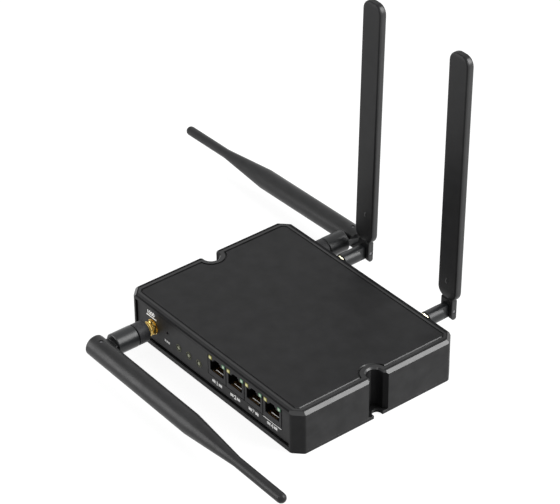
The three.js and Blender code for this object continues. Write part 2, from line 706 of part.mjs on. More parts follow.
// Eight spring contacts that rise towards the back of the socket, on one carrier bar.
function portContacts(index) {
  const back = SOCKET_DEPTH - CONTACT_CLEARANCE;
  const floor = SOCKET_FLOOR + CONTACT_CLEARANCE;
  const span = (CONTACT_COUNT - 1) * CONTACT_PITCH + CONTACT_WIDTH;
  let comb = box(-span / 2, span / 2, back - CONTACT_BAR, back, floor,
    floor + CONTACT_RISE + CONTACT_THICKNESS);
  const root = back - CONTACT_BAR / 2;
  const side = [
    [CONTACT_FRONT, floor], [root, floor + CONTACT_RISE],
    [root, floor + CONTACT_RISE + CONTACT_THICKNESS], [CONTACT_FRONT, floor + CONTACT_THICKNESS],
  ];
  const shape = new THREE.Shape(side.map(([y, z]) => new THREE.Vector2(y, z)));
  for (let k = 0; k < CONTACT_COUNT; k += 1) {
    const finger = new THREE.ExtrudeGeometry(shape, { depth: CONTACT_WIDTH, bevelEnabled: false });
    finger.rotateX(Math.PI / 2);
    finger.rotateZ(Math.PI / 2);
    finger.translate(-span / 2 + k * CONTACT_PITCH, 0, 0);
    comb = unite(comb, solid(finger));
  }
  return mesh(`port_${index + 1}_contacts`, comb, GOLD);
}

function portLed(index, side, name, look) {
  const lens = box(-LED_WIDTH / 2, LED_WIDTH / 2, -LED_PROUD, LED_LENGTH,
    -LED_HEIGHT / 2, LED_HEIGHT / 2);
  const result = mesh(`port_${index + 1}_led_${name}`, lens, look);
  result.position.set(side * LED_OFFSET, 0, LED_RISE);
  return result;
}

function port(index) {
  const group = new THREE.Group();
  group.add(portBody(index), portContacts(index));
  group.add(portLed(index, -1, 'left', YELLOW_LENS), portLed(index, 1, 'right', GREEN_LENS));
  group.position.set(portX(index), -PANEL_FACE_Y, BOARD_TOP);
  return group;
}

// Light pipe through the front panel, with a flange against the panel's inner face.
function statusLight(index) {
  const flangeBack = PANEL_THICKNESS + STATUS_FLANGE_LENGTH;
  const pipe = turned([
    [0, -STATUS_PROUD], [STATUS_RADIUS, -STATUS_PROUD], [STATUS_RADIUS, PANEL_THICKNESS],
    [STATUS_RADIUS + STATUS_FLANGE, PANEL_THICKNESS], [STATUS_RADIUS + STATUS_FLANGE, flangeBack],
    [STATUS_RADIUS, flangeBack], [STATUS_RADIUS, STATUS_LENGTH], [0, STATUS_LENGTH],
  ], 'y', FINE_ROUND);
  const light = mesh(`status_light_${index + 1}`, pipe, STATUS_LENS);
  light.position.set(statusX(index), -PANEL_FACE_Y, STATUS_Z);
  return light;
}

// Push switch behind the pinhole: a body on the board and a plunger that slides along Y.
function resetSwitch() {
  const group = new THREE.Group();
  const guideStart = RESET_PLUNGER_LENGTH - RESET_PLUNGER_GUIDED;
  const boreEnd = RESET_PLUNGER_LENGTH + RESET_TRAVEL + RESET_CLEARANCE;
  const half = RESET_BODY_WIDTH / 2;
  const block = box(-half, half, guideStart, guideStart + RESET_BODY_DEPTH,
    BOARD_TOP - RESET_Z, RESET_BODY_TOP);
  const bore = rod(RESET_PLUNGER_RADIUS + RESET_CLEARANCE, -OVER, boreEnd, 'y', FINE_ROUND);
  const plunger = rod(RESET_PLUNGER_RADIUS, 0, RESET_PLUNGER_LENGTH, 'y', FINE_ROUND);
  group.add(mesh('reset_switch', cut(block, bore), SWITCH));
  group.add(mesh('reset_plunger', plunger, PLUNGER));
  group.position.set(RESET_X, -PANEL_INNER_Y + RESET_SETBACK, RESET_Z);
  return group;
}

// Power inlet: a block with a round socket and a centre pin joined at its inner end.
function powerJack() {
  const half = POWER_WIDTH / 2;
  const block = box(-half, half, -POWER_DEPTH, 0, 0, POWER_HEIGHT);
  const bore = at(rod(POWER_BORE_RADIUS, -POWER_BORE_DEPTH, OVER, 'y'), 0, 0, POWER_AXIS_RISE);
  const pin = at(rod(POWER_PIN_RADIUS, -POWER_BORE_DEPTH - 1, -POWER_PIN_SETBACK, 'y', FINE_ROUND),
    0, 0, POWER_AXIS_RISE);
  const jack = mesh('power_jack', unite(cut(block, bore), pin), SWITCH);
  jack.position.set(POWER_X, PANEL_FACE_Y, BOARD_TOP);
  return jack;
}

function simSocket() {
  const half = SIM_WIDTH / 2;
  const low = (SIM_HEIGHT - SIM_SLOT_HEIGHT) / 2;
  const block = box(-half, half, -SIM_DEPTH, 0, 0, SIM_HEIGHT);
  const slot = box(-SIM_SLOT_WIDTH / 2, SIM_SLOT_WIDTH / 2, -SIM_SLOT_DEPTH, OVER,
    low, low + SIM_SLOT_HEIGHT);
  const socket = mesh('sim_socket', cut(block, slot), TIN);
  socket.position.set(SIM_X, BOARD_HALF_DEPTH, BOARD_TOP);
  return socket;
}

// ---------------------------------------------------------------- aerials
// Each aerial is built with +Y pointing out of the panel and Y = 0 on the panel's face.

function aerialSocket(name, seat) {
  const half = SOCKET_BLOCK / 2;
  const blockBack = -PANEL_THICKNESS - SOCKET_BLOCK_DEPTH;
  const boardRise = BOARD_TOP - AERIAL_Z;
  const body = unite(
    rod(THREAD_RADIUS, -PANEL_THICKNESS - SOCKET_BLOCK_DEPTH / 2, seat.threadEnd, 'y', FINE_ROUND),
    box(-half, half, blockBack, -PANEL_THICKNESS, -half, half),
    box(-SOCKET_TONGUE_WIDTH / 2, SOCKET_TONGUE_WIDTH / 2, blockBack - SOCKET_TONGUE_LENGTH,
      -PANEL_THICKNESS - SOCKET_BLOCK_DEPTH / 2, boardRise, boardRise + SOCKET_TONGUE_THICKNESS),
  );
  const bore = rod(SOCKET_BORE_RADIUS, seat.threadEnd - SOCKET_BORE_DEPTH, seat.threadEnd + OVER,
    'y', FINE_ROUND);
  return mesh(name, cut(body, bore), GOLD);
}

// Hexagonal nut against the panel with a turned ring in front of it.
function socketNut(name, seat) {
  const neckEnd = NUT_LENGTH + NUT_NECK_LENGTH;
  const body = unite(
    hexRod(NUT_FLATS, 0, NUT_LENGTH),
    rod(NUT_NECK_RADIUS, NUT_LENGTH / 2, (neckEnd + seat.ringEnd) / 2, 'y', FINE_ROUND),
    rod(NUT_RING_RADIUS, neckEnd, seat.ringEnd, 'y', FINE_ROUND),
  );
  const bore = rod(THREAD_RADIUS + THREAD_CLEARANCE, -OVER, seat.ringEnd + OVER, 'y', FINE_ROUND);
  return mesh(name, cut(body, bore), GOLD);
}

function coupling(name, seat, body, look) {
  const bore = rod(THREAD_RADIUS + THREAD_CLEARANCE, seat.couplingStart - OVER,
    seat.couplingEnd + OVER, 'y', FINE_ROUND);
  return mesh(name, cut(body, bore), look);
}

// Barrel with a plug for the socket at one end and the hinge's middle tongue at the other.
function barrel(name, radius, start, end, pivot, tongue, tongueRadius, pinAxis) {
  const edge = radius / 12;
  const round = turned([
    [0, start - PLUG_LENGTH], [PLUG_RADIUS, start - PLUG_LENGTH],
    [PLUG_RADIUS, start], [radius - edge, start], [radius, start + edge],
    [radius, end - edge], [radius - edge, end], [0, end],
  ], 'y');
  const half = tongue / 2;
  const reach = tongueRadius;
  const root = end - radius / 2;
  let plate;
  if (pinAxis === 'z') {
    plate = unite(box(-reach, reach, root, pivot, -half, half),
      at(rod(reach, -half, half, 'z'), 0, pivot));
  } else {
    plate = unite(box(-half, half, root, pivot, -reach, reach),
      at(rod(reach, -half, half, 'x'), 0, pivot));
  }
  const hole = rod(PIN_RADIUS + PIN_CLEARANCE, -radius, radius, pinAxis, FINE_ROUND);
  return mesh(name, cut(unite(round, plate), at(hole, 0, pivot)), BARREL);
}

function hingePin(name, halfLength, pinAxis) {
  return mesh(name, rod(PIN_RADIUS, -halfLength, halfLength, pinAxis, FINE_ROUND), STEEL);
}

// Round whip along -X from its hinge at the origin: straight body, taper, thin rounded tip.
// Its hinge end is flat on the outer half and rounded about the pin on the barrel's side.
function whipBody(name) {
  const profile = [
    [0, -WHIP_EAR_REACH], [WHIP_RADIUS - WHIP_EDGE, -WHIP_EAR_REACH],
    [WHIP_RADIUS, WHIP_EDGE - WHIP_EAR_REACH], [WHIP_RADIUS, WHIP_BODY_LENGTH],
    [WHIP_TIP_RADIUS, WHIP_BODY_LENGTH + WHIP_TAPER_LENGTH],
  ];
  const steps = 4;
  for (let k = 0; k < steps; k += 1) {
    const angle = (Math.PI / 2) * (k / steps);
    profile.push([WHIP_TIP_RADIUS * Math.cos(angle),
      WHIP_LENGTH - WHIP_TIP_RADIUS + WHIP_TIP_RADIUS * Math.sin(angle)]);
  }
  profile.push([0, WHIP_LENGTH]);
  const round = turned(profile, 'x').rotate([0, 0, 180]);
  const keep = unite(
    rod(WHIP_EAR_REACH, -WHIP_RADIUS - OVER, WHIP_RADIUS + OVER, 'z'),
    box(-WHIP_LENGTH - OVER, 0, -WHIP_RADIUS - OVER, WHIP_RADIUS + OVER,
      -WHIP_RADIUS - OVER, WHIP_RADIUS + OVER),
    box(-OVER, WHIP_EAR_REACH + OVER, 0, WHIP_RADIUS + OVER,
      -WHIP_RADIUS - OVER, WHIP_RADIUS + OVER),
  );
  const slotHalf = WHIP_TONGUE / 2 + HINGE_SIDE_GAP;
  const reach = WHIP_TONGUE_RADIUS + HINGE_END_GAP;
  const far = WHIP_EAR_REACH + OVER;
  const slot = unite(
    rod(reach, -slotHalf, slotHalf, 'z'),
    box(-reach, far, -far, 0, -slotHalf, slotHalf),
    box(0, far, -far, reach, -slotHalf, slotHalf),
  );
  const hole = rod(PIN_RADIUS + PIN_CLEARANCE, -far, far, 'z', FINE_ROUND);
  return mesh(name, cut(round.intersect(keep), slot, hole), RUBBER);
}

function whipAerial(name, socketX, side, seat) {
  const group = new THREE.Group();
  const hinge = new THREE.Group();
  const turning = new THREE.Group();
  const collar = turned([
    [0, seat.couplingStart], [COLLAR_RADIUS - COLLAR_EDGE, seat.couplingStart],
    [COLLAR_RADIUS, seat.couplingStart + COLLAR_EDGE], [COLLAR_RADIUS, seat.couplingEnd],
    [0, seat.couplingEnd],
  ], 'y');
  const shoulder = seat.barrelStart + WHIP_BARREL_LENGTH;
  const pivot = shoulder + WHIP_EAR_REACH + HINGE_END_GAP;
  group.add(coupling(`${name}_collar`, seat, collar, COLLAR));
  turning.add(barrel(`${name}_barrel`, WHIP_BARREL_RADIUS, seat.barrelStart, shoulder, pivot,
    WHIP_TONGUE, WHIP_TONGUE_RADIUS, 'z'));
  hinge.add(hingePin(`${name}_pin`, WHIP_RADIUS - WHIP_PIN_SINK, 'z'), whipBody(name));
  hinge.position.set(0, pivot, 0);
  turning.add(hinge);
  turning.rotation.y = THREE.MathUtils.degToRad(-WHIP_DROOP);
  group.add(turning);
  group.position.set(socketX, side * PANEL_FACE_Y, AERIAL_Z);
  if (side < 0) group.rotation.z = Math.PI;
  return group;
}

// Flat blade along +Z from its hinge at the origin, with a neck and a two-eared fork below.
function bladeBody(name) {
  const neckTop = BLADE_FORK_TOP + BLADE_NECK_LENGTH;
  const section = (half, depth, edge) => roundedRectangle(half, depth, Math.min(edge, depth * 0.9));
  const forkSection = section(BLADE_FORK_HALF_WIDTH, BLADE_FORK_HALF_DEPTH, BLADE_FORK_EDGE);
  const neckHalf = BLADE_FORK_HALF_WIDTH - BLADE_NECK_INSET;
  const neckDepth = BLADE_FORK_HALF_DEPTH - BLADE_NECK_INSET;
  const fork = lofted([
    [forkSection, -BLADE_EAR_REACH],
    [forkSection, BLADE_FORK_TOP],
    [section(neckHalf, neckDepth, BLADE_FORK_EDGE), neckTop],
    [section(neckHalf, neckDepth, BLADE_FORK_EDGE), neckTop + BLADE_NECK_LENGTH],
  ]);
  const earCentre = BLADE_FORK_HALF_DEPTH - BLADE_EAR_REACH;
  const wide = BLADE_FORK_HALF_WIDTH + OVER;
  const keep = unite(
    at(rod(BLADE_FORK_HALF_DEPTH, -wide, wide, 'x'), 0, 0, earCentre),
    box(-wide, wide, -wide, wide, earCentre, BLADE_LENGTH),
  );
  const footHalf = neckHalf + BLADE_FOOT_OVERHANG;
  const footDepth = neckDepth + BLADE_FOOT_OVERHANG;
  const levels = [];
  const shoulderSteps = 5;
  for (let k = 0; k <= shoulderSteps; k += 1) {
    const along = k / shoulderSteps;
    const out = Math.sin((Math.PI / 2) * along);
    const rise = (along + 1 - Math.cos((Math.PI / 2) * along)) / 2;
    levels.push([section(footHalf + (BLADE_HALF_WIDTH - footHalf) * out,
      footDepth + (BLADE_HALF_DEPTH - footDepth) * out, BLADE_EDGE),
    neckTop + BLADE_FLARE_LENGTH * rise]);
  }
  const steps = 6;
  const arcStart = BLADE_LENGTH - BLADE_TOP_RADIUS;
  for (let k = 0; k <= steps; k += 1) {
    const angle = (Math.PI / 2) * (k / steps) * 0.94;
    const half = BLADE_HALF_WIDTH - BLADE_TOP_RADIUS * (1 - Math.cos(angle));
    const thin = BLADE_HALF_DEPTH * (1 - 0.35 * (k / steps) ** 3);
    levels.push([section(half, thin, BLADE_EDGE), arcStart + BLADE_TOP_RADIUS * Math.sin(angle)]);
  }
  const slotHalf = BLADE_TONGUE / 2 + HINGE_SIDE_GAP;
  const slot = box(-slotHalf, slotHalf, -wide, wide, -BLADE_EAR_REACH - OVER,
    BLADE_TONGUE_RADIUS + HINGE_END_GAP);
  const hole = rod(PIN_RADIUS + PIN_CLEARANCE, -wide, wide, 'x', FINE_ROUND);
  return mesh(name, cut(unite(fork.intersect(keep), lofted(levels)), slot, hole), RUBBER);
}

function bladeAerial(name, socketX, barrelLength, lean) {
  const group = new THREE.Group();
  const hinge = new THREE.Group();
  const turning = new THREE.Group();
  const seat = BLADE_SEAT;
  const nut = hexRod(BLADE_NUT_FLATS, seat.couplingStart, seat.couplingEnd);
  const barrelEnd = seat.barrelStart + barrelLength;
  const pivot = barrelEnd + BLADE_EAR_REACH + BLADE_EAR_GAP;
  group.add(coupling(`${name}_nut`, seat, nut, NICKEL));
  turning.add(barrel(`${name}_barrel`, BLADE_BARREL_RADIUS, seat.barrelStart, barrelEnd, pivot,
    BLADE_TONGUE, BLADE_TONGUE_RADIUS, 'x'));
  turning.add(hinge);
  const pin = hingePin(`${name}_pin`, BLADE_FORK_HALF_WIDTH - BLADE_PIN_SINK, 'x');
  hinge.add(pin, bladeBody(name));
  hinge.position.set(0, pivot, 0);
  hinge.rotation.x = THREE.MathUtils.degToRad(-BLADE_RECLINE);
  turning.rotation.y = THREE.MathUtils.degToRad(lean);
  group.add(turning);
  group.position.set(socketX, PANEL_FACE_Y, AERIAL_Z);
  return group;
}

// Socket and nut for one aerial, in the housing's panel.
function socketSet(tag, socketX, side, seat) {
  const group = new THREE.Group();
  group.add(aerialSocket(`aerial_socket_${tag}`, seat), socketNut(`socket_nut_${tag}`, seat));
  group.position.set(socketX, side * PANEL_FACE_Y, AERIAL_Z);
  if (side < 0) group.rotation.z = Math.PI;
  return group;
}

// ---------------------------------------------------------------- assembly
const router = new THREE.Group();
router.add(bottomCover(), topCover(), frontPanel(), rearPanel(), mainBoard());
screwPlaces().forEach(([x, y], k) => router.add(coverScrew(k + 1, x, y)));
router.add(boardBlock('cpu_shield', SHIELD_X, SHIELD_Y, SHIELD_SIZE, SHIELD_SIZE,
  SHIELD_HEIGHT, TIN));
router.add(boardBlock('modem_module', MODEM_X, MODEM_Y, MODEM_WIDTH, MODEM_DEPTH,
  MODEM_HEIGHT, TIN));
for (let index = 0; index < PORT_COUNT; index += 1) router.add(port(index));
for (let index = 0; index < STATUS_COUNT; index += 1) router.add(statusLight(index));
router.add(resetSwitch(), powerJack(), simSocket());
router.add(socketSet('front', FRONT_SOCKET_X, -1, FRONT_WHIP_SEAT));
router.add(socketSet('rear_1', REAR_WHIP_X, 1, REAR_WHIP_SEAT));
router.add(socketSet('rear_2', BLADE_1_X, 1, BLADE_SEAT));
router.add(socketSet('rear_3', BLADE_2_X, 1, BLADE_SEAT));
router.add(whipAerial('front_whip', FRONT_SOCKET_X, -1, FRONT_WHIP_SEAT));
router.add(whipAerial('rear_whip', REAR_WHIP_X, 1, REAR_WHIP_SEAT));
router.add(bladeAerial('blade_1', BLADE_1_X, BLADE_1_BARREL_LENGTH, BLADE_1_LEAN));
router.add(bladeAerial('blade_2', BLADE_2_X, BLADE_2_BARREL_LENGTH, BLADE_2_LEAN));

export default router;
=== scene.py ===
"""The looks of the wireless router: finer meshes, materials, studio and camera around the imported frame.

Everything is in metres, in the row frame: +X to the right along the front panel, +Y from the front
panel to the rear panel, +Z up, with the origin under the middle of the housing.
"""

import json
import math

import bmesh
import bpy
from mathutils import Matrix, Vector

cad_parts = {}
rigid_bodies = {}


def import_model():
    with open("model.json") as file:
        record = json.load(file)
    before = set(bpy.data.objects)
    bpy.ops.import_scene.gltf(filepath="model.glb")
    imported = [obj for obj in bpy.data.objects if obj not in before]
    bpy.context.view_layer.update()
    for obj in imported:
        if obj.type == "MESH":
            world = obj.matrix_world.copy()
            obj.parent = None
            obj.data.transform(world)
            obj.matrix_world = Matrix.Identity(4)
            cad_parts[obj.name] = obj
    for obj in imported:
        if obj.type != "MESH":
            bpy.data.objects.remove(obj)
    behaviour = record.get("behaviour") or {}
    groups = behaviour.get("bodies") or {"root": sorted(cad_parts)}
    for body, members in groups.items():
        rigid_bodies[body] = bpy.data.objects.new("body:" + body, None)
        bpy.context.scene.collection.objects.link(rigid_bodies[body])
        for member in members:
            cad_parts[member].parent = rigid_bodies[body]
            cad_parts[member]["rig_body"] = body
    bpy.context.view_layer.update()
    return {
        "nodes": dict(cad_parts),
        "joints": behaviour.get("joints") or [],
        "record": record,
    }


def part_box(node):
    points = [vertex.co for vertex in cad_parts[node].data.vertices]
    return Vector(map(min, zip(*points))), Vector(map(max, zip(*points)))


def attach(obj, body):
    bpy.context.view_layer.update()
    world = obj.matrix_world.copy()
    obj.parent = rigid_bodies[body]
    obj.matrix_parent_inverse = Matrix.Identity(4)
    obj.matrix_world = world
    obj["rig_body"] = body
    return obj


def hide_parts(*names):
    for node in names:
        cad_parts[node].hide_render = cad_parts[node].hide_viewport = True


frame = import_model()

MM = 0.001
PORT_COUNT = 4


# ---------------------------------------------------------------- camera

CAMERA_PLACE = Vector((877.685, -702.924, 836.217)) * MM
CAMERA_AZIMUTH = math.radians(51.578)
CAMERA_ELEVATION = math.radians(34.363)
CAMERA_ROLL = math.radians(-0.553)
LENS_MM = 162.02
SENSOR_MM = 36
CAMERA_CLIP = (0.05, 20)


def add_camera():
    """The camera at the photograph's angle, without shift or depth of field."""
    back = Vector((
        math.sin(CAMERA_AZIMUTH) * math.cos(CAMERA_ELEVATION),
        -math.cos(CAMERA_AZIMUTH) * math.cos(CAMERA_ELEVATION),
        math.sin(CAMERA_ELEVATION),
    ))
    level = Vector((math.cos(CAMERA_AZIMUTH), math.sin(CAMERA_AZIMUTH), 0))
    upright = back.cross(level)
    right = level * math.cos(CAMERA_ROLL) + upright * math.sin(CAMERA_ROLL)
    up = upright * math.cos(CAMERA_ROLL) - level * math.sin(CAMERA_ROLL)
    camera = bpy.data.objects.new("camera", bpy.data.cameras.new("camera"))
    camera.data.lens = LENS_MM
    camera.data.sensor_width = SENSOR_MM
    camera.data.clip_start, camera.data.clip_end = CAMERA_CLIP
    camera.matrix_world = Matrix((right, up, back)).transposed().to_4x4()
    camera.location = CAMERA_PLACE
    bpy.context.scene.collection.objects.link(camera)
    bpy.context.scene.camera = camera


# ---------------------------------------------------------------- materials

LENS_FADE = (2, 0, 2)
LENS_FADE_END = 0.6


class Look:
    """A procedural material on one Principled shader, in the piece's own coordinates."""

    def __init__(self, name, colour, roughness, metallic=0.0, specular=0.5):
        self.material = bpy.data.materials.new(name)
        self.material.use_nodes = True
        self.nodes = self.material.node_tree.nodes
        self.links = self.material.node_tree.links
        self.shader = self.nodes["Principled BSDF"]
        self.colour = colour
        self.roughness = roughness
        self.set("Base Color", (*colour, 1))
        self.set("Roughness", roughness)
        self.set("Metallic", metallic)
        self.set("Specular IOR Level", specular)
        self.coordinates = self.nodes.new("ShaderNodeTexCoord")

    def set(self, socket, value):
        self.shader.inputs[socket].default_value = value

    def mapped(self, output, scale, move=(0, 0, 0)):
        """The named texture coordinate, scaled and then moved."""
        mapping = self.nodes.new("ShaderNodeMapping")
        mapping.inputs["Scale"].default_value = scale
        mapping.inputs["Location"].default_value = move
        self.links.new(self.coordinates.outputs[output], mapping.inputs["Vector"])
        return mapping.outputs["Vector"]

    def noise(self, size, detail, stretch=(1, 1, 1)):
        """A noise from 0 to 1 whose blobs are about the given size across."""
        texture = self.nodes.new("ShaderNodeTexNoise")
        texture.inputs["Scale"].default_value = 1 / size
        texture.inputs["Detail"].default_value = detail
        self.links.new(self.mapped("Object", stretch), texture.inputs["Vector"])
        return texture.outputs["Fac"]

    def from_middle(self, scale):
        """1 in the middle of the piece's box and 0 at its edge, along the axes of the scale."""
        texture = self.nodes.new("ShaderNodeTexGradient")
        texture.gradient_type = "SPHERICAL"
        vector = self.mapped("Generated", scale, [-s / 2 for s in scale])
        self.links.new(vector, texture.inputs["Vector"])
        return texture.outputs["Fac"]

    def ramp(self, factor, low, high, start=0.3, end=0.7):
        """A value that goes from low to high as the factor goes from start to end."""
        node = self.nodes.new("ShaderNodeMapRange")
        node.inputs["From Min"].default_value = start
        node.inputs["From Max"].default_value = end
        node.inputs["To Min"].default_value = low
        node.inputs["To Max"].default_value = high
        self.links.new(factor, node.inputs["Value"])
        return node.outputs["Result"]

    def blended(self, factor, first, second):
        """A colour that goes from the first to the second as the factor goes from 0 to 1."""
        mix = self.nodes.new("ShaderNodeMix")
        mix.data_type = "RGBA"
        mix.inputs["A"].default_value = (*first, 1)
        mix.inputs["B"].default_value = (*second, 1)
        self.links.new(factor, mix.inputs["Factor"])
        return mix.outputs["Result"]

    def mottle(self, factor, spread):
        """Varies the colour's brightness by plus and minus the spread."""
        dark = [c * (1 - spread) for c in self.colour]
        light = [c * (1 + spread) for c in self.colour]
        colour = self.blended(self.ramp(factor, 0, 1), dark, light)
        self.links.new(colour, self.shader.inputs["Base Color"])

    def polish(self, factor, spread):
        """Varies the roughness by plus and minus the spread."""
        value = self.ramp(factor, self.roughness - spread, self.roughness + spread)
        self.links.new(value, self.shader.inputs["Roughness"])

    def relief(self, factor, depth):
        """Gives the surface a bump of the stated depth."""
        bump = self.nodes.new("ShaderNodeBump")
        bump.inputs["Distance"].default_value = depth
        bump.inputs["Strength"].default_value = 1.0
        self.links.new(factor, bump.inputs["Height"])
        self.links.new(bump.outputs["Normal"], self.shader.inputs["Normal"])


def moulded(name, colour, roughness, specular=0.15, clouds=0.15):
    """Moulded plastic with a fine eroded texture and cloudy changes of colour and gloss."""
    look = Look(name, colour, roughness, specular=specular)
    look.mottle(look.noise(9 * MM, 8), clouds)
    look.polish(look.noise(7 * MM, 6), 0.03)
    look.relief(look.noise(0.35 * MM, 3), 0.003 * MM)
    return look.material


def knurled(name, colour, roughness):
    """Matt plastic with fine ribs along Y, for a collar that is turned by hand."""
    look = Look(name, colour, roughness, specular=0.2)
    look.mottle(look.noise(1.0 * MM, 4), 0.3)
    look.polish(look.noise(2 * MM, 3), 0.06)
    look.relief(look.noise(0.6 * MM, 2, (1, 0.2, 1)), 0.09 * MM)
    return look.material


def glossy(name, colour, roughness, specular):
    """Smooth moulded plastic with a faint orange-peel surface."""
    look = Look(name, colour, roughness, specular=specular)
    look.mottle(look.noise(6 * MM, 3), 0.04)
    look.polish(look.noise(3 * MM, 4), 0.03)
    look.relief(look.noise(1.6 * MM, 2), 0.002 * MM)
    return look.material


def rubbery(name, colour, roughness, specular):
    """Elastomer jacket: fine grain drawn out along the piece and faint cloudy gloss."""
    look = Look(name, colour, roughness, specular=specular)
    look.mottle(look.noise(3 * MM, 6, (0.4, 1, 1)), 0.3)
    look.polish(look.noise(4 * MM, 5, (0.4, 1, 1)), 0.07)
    look.relief(look.noise(0.5 * MM, 4), 0.005 * MM)
    return look.material


def plated(name, colour, roughness):
    """Turned and plated metal with fine tool lines."""
    look = Look(name, colour, roughness, 1.0)
    look.mottle(look.noise(0.5 * MM, 3), 0.05)
    look.polish(look.noise(0.3 * MM, 3, (1, 4, 1)), 0.05)
    look.relief(look.noise(0.2 * MM, 2, (1, 5, 1)), 0.001 * MM)
    return look.material


def lens(name, core, rim, glow):
    """Light-pipe end whose colour changes from the middle of its face to its rim."""
    look = Look(name, core, 0.3)
    inward = look.ramp(look.from_middle(LENS_FADE), 0, 1, 0.0, LENS_FADE_END)
    colour = look.blended(inward, rim, core)
    look.links.new(colour, look.shader.inputs["Base Color"])
    look.links.new(colour, look.shader.inputs["Emission Color"])
    look.set("Emission Strength", glow)
    look.polish(look.noise(1.0 * MM, 2), 0.06)
    look.relief(look.noise(0.5 * MM, 2), 0.003 * MM)
    return look.material


def circuit_board(name):
    """Green solder mask over a pattern of copper runs."""
    look = Look(name, (0.012, 0.07, 0.03), 0.35)
    look.mottle(look.noise(3 * MM, 1, (1, 0.15, 1)), 0.25)
    look.polish(look.noise(2 * MM, 3), 0.06)
    look.relief(look.noise(1.2 * MM, 1, (0.15, 1, 1)), 0.02 * MM)
    return look.material


def printed(name, colour):
    """Pad-printed ink, a little uneven."""
    look = Look(name, colour, 0.5)
    look.mottle(look.noise(0.4 * MM, 3), 0.06)
    look.polish(look.noise(0.6 * MM, 2), 0.05)
    look.relief(look.noise(0.15 * MM, 2), 0.002 * MM)
    return look.material


SHELL = moulded("shell", (0.011, 0.011, 0.0115), 0.42, clouds=0.25)
# A darker, duller copy of the shell's plastic. It is painted shade on the front and rear chamfers, on the
# notch walls and on the outer strip on the rear and left.
SHELL_SHADE = moulded("shell_painted_shade", (0.009, 0.009, 0.0095), 0.55, 0.05)
# A lighter copy of the shell's plastic for the upright sides: painted light.
SHELL_SIDE_LIT = moulded("shell_side_lit", (0.016, 0.016, 0.0165), 0.40, 0.2, 0.4)
# A lighter copy for the inner strip beside the groove and the front of the groove: painted highlight.
SHELL_HIGHLIGHT = moulded("shell_painted_highlight", (0.021, 0.021, 0.0215), 0.36, 0.25)
# A lighter, glossier copy for the side chamfers: a smoother polish with a painted highlight.
SHELL_EDGE_LIT = moulded("shell_edge_lit", (0.018, 0.018, 0.0185), 0.28, 0.5)
PANEL = moulded("panel", (0.016, 0.016, 0.0165), 0.48, 0.2)
PORT = moulded("port", (0.014, 0.014, 0.015), 0.46, 0.2)
# Near black for the insides of the sockets: painted shade in the hollows.
HOLE_SHADE = moulded("hole_painted_shade", (0.003, 0.003, 0.003), 0.7, 0.05)
COLLAR = knurled("collar", (0.034, 0.034, 0.036), 0.5)
BARREL = glossy("barrel", (0.014, 0.015, 0.016), 0.33, 0.38)
WHIP = rubbery("whip", (0.014, 0.014, 0.0145), 0.38, 0.25)
BLADE = moulded("blade", (0.013, 0.013, 0.0135), 0.40)
# A lighter, glossier copy of the blade plastic for the narrow sides and the oval marks: painted
# highlight.
BLADE_SIDE_LIT = moulded("blade_side_lit", (0.017, 0.017, 0.0175), 0.38, 0.45)
GOLD = plated("gold", (0.62, 0.44, 0.14), 0.20)
NICKEL = plated("nickel", (0.74, 0.69, 0.50), 0.20)
DARK_BRASS = plated("dark_brass", (0.10, 0.055, 0.018), 0.45)
STEEL = plated("steel", (0.20, 0.20, 0.21), 0.40)
BLACK_STEEL = plated("black_steel", (0.05, 0.05, 0.052), 0.38)
TIN = plated("tin", (0.62, 0.63, 0.65), 0.30)
YELLOW_LENS = lens("yellow_lens", (0.50, 0.48, 0.24), (0.16, 0.15, 0.012), 0.5)
GREEN_LENS = lens("green_lens", (0.36, 0.44, 0.34), (0.02, 0.12, 0.05), 0.4)
STATUS_LENS = lens("status_lens", (0.24, 0.25, 0.16), (0.15, 0.155, 0.08), 0.06)
STATUS_BEZEL = moulded("status_bezel", (0.08, 0.083, 0.05), 0.45)
BLACK = moulded("black", (0.010, 0.010, 0.011), 0.45)
PALE = moulded("pale", (0.70, 0.69, 0.66), 0.45)
BOARD = circuit_board("board")
INK = printed("ink", (0.90, 0.90, 0.89))


# ---------------------------------------------------------------- mesh helpers

ROUNDED_FROM = math.radians(25)
FLAT_WITHIN = math.radians(0.6)
WELD_WITHIN = 1e-6
LARGE_FACE_WEIGHT = 80
SMALL_ROUNDING = 0.15 * MM
REFINED_SEGMENTS = 3
RING_STEPS = 96


def new_object(name, mesh, *materials):
    """An object in the scene with the mesh and its materials."""
    made = bpy.data.objects.new(name, mesh)
    bpy.context.scene.collection.objects.link(made)
    for material in materials:
        mesh.materials.append(material)
    return made


def finished(bm, name, body, *materials):
    """An object on a body from a finished mesh, shaded smooth with normals that follow large faces."""
    mesh = bpy.data.meshes.new(name)
    bm.to_mesh(mesh)
    bm.free()
    made = new_object(name, mesh, *materials)
    mesh.polygons.foreach_set("use_smooth", [True] * len(mesh.polygons))
    weighted = made.modifiers.new("normals", "WEIGHTED_NORMAL")
    weighted.keep_sharp = True
    weighted.weight = LARGE_FACE_WEIGHT
    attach(made, body)
    return made


def bevelled(bm, edges, width, segments=2):
    """Rounds edges to the given width, in as many flats as there are segments."""
    bmesh.ops.bevel(
        bm, geom=edges, offset=width, offset_type="OFFSET", segments=segments,
        profile=0.5, affect="EDGES", clamp_overlap=True, material=-1,
    )


def joined_faces(node):
    """A copy of a CAD node's mesh with its coplanar triangles joined."""
    bm = bmesh.new()
    bm.from_mesh(frame["nodes"][node].data)
    bmesh.ops.remove_doubles(bm, verts=bm.verts, dist=WELD_WITHIN)
    bmesh.ops.dissolve_limit(bm, angle_limit=FLAT_WITHIN, verts=bm.verts, edges=bm.edges)
    return bm


def sharp_edges(bm):
    """The edges at which two faces meet at more than a slight angle."""
    return [e for e in bm.edges if e.is_manifold and e.calc_face_angle() > ROUNDED_FROM]


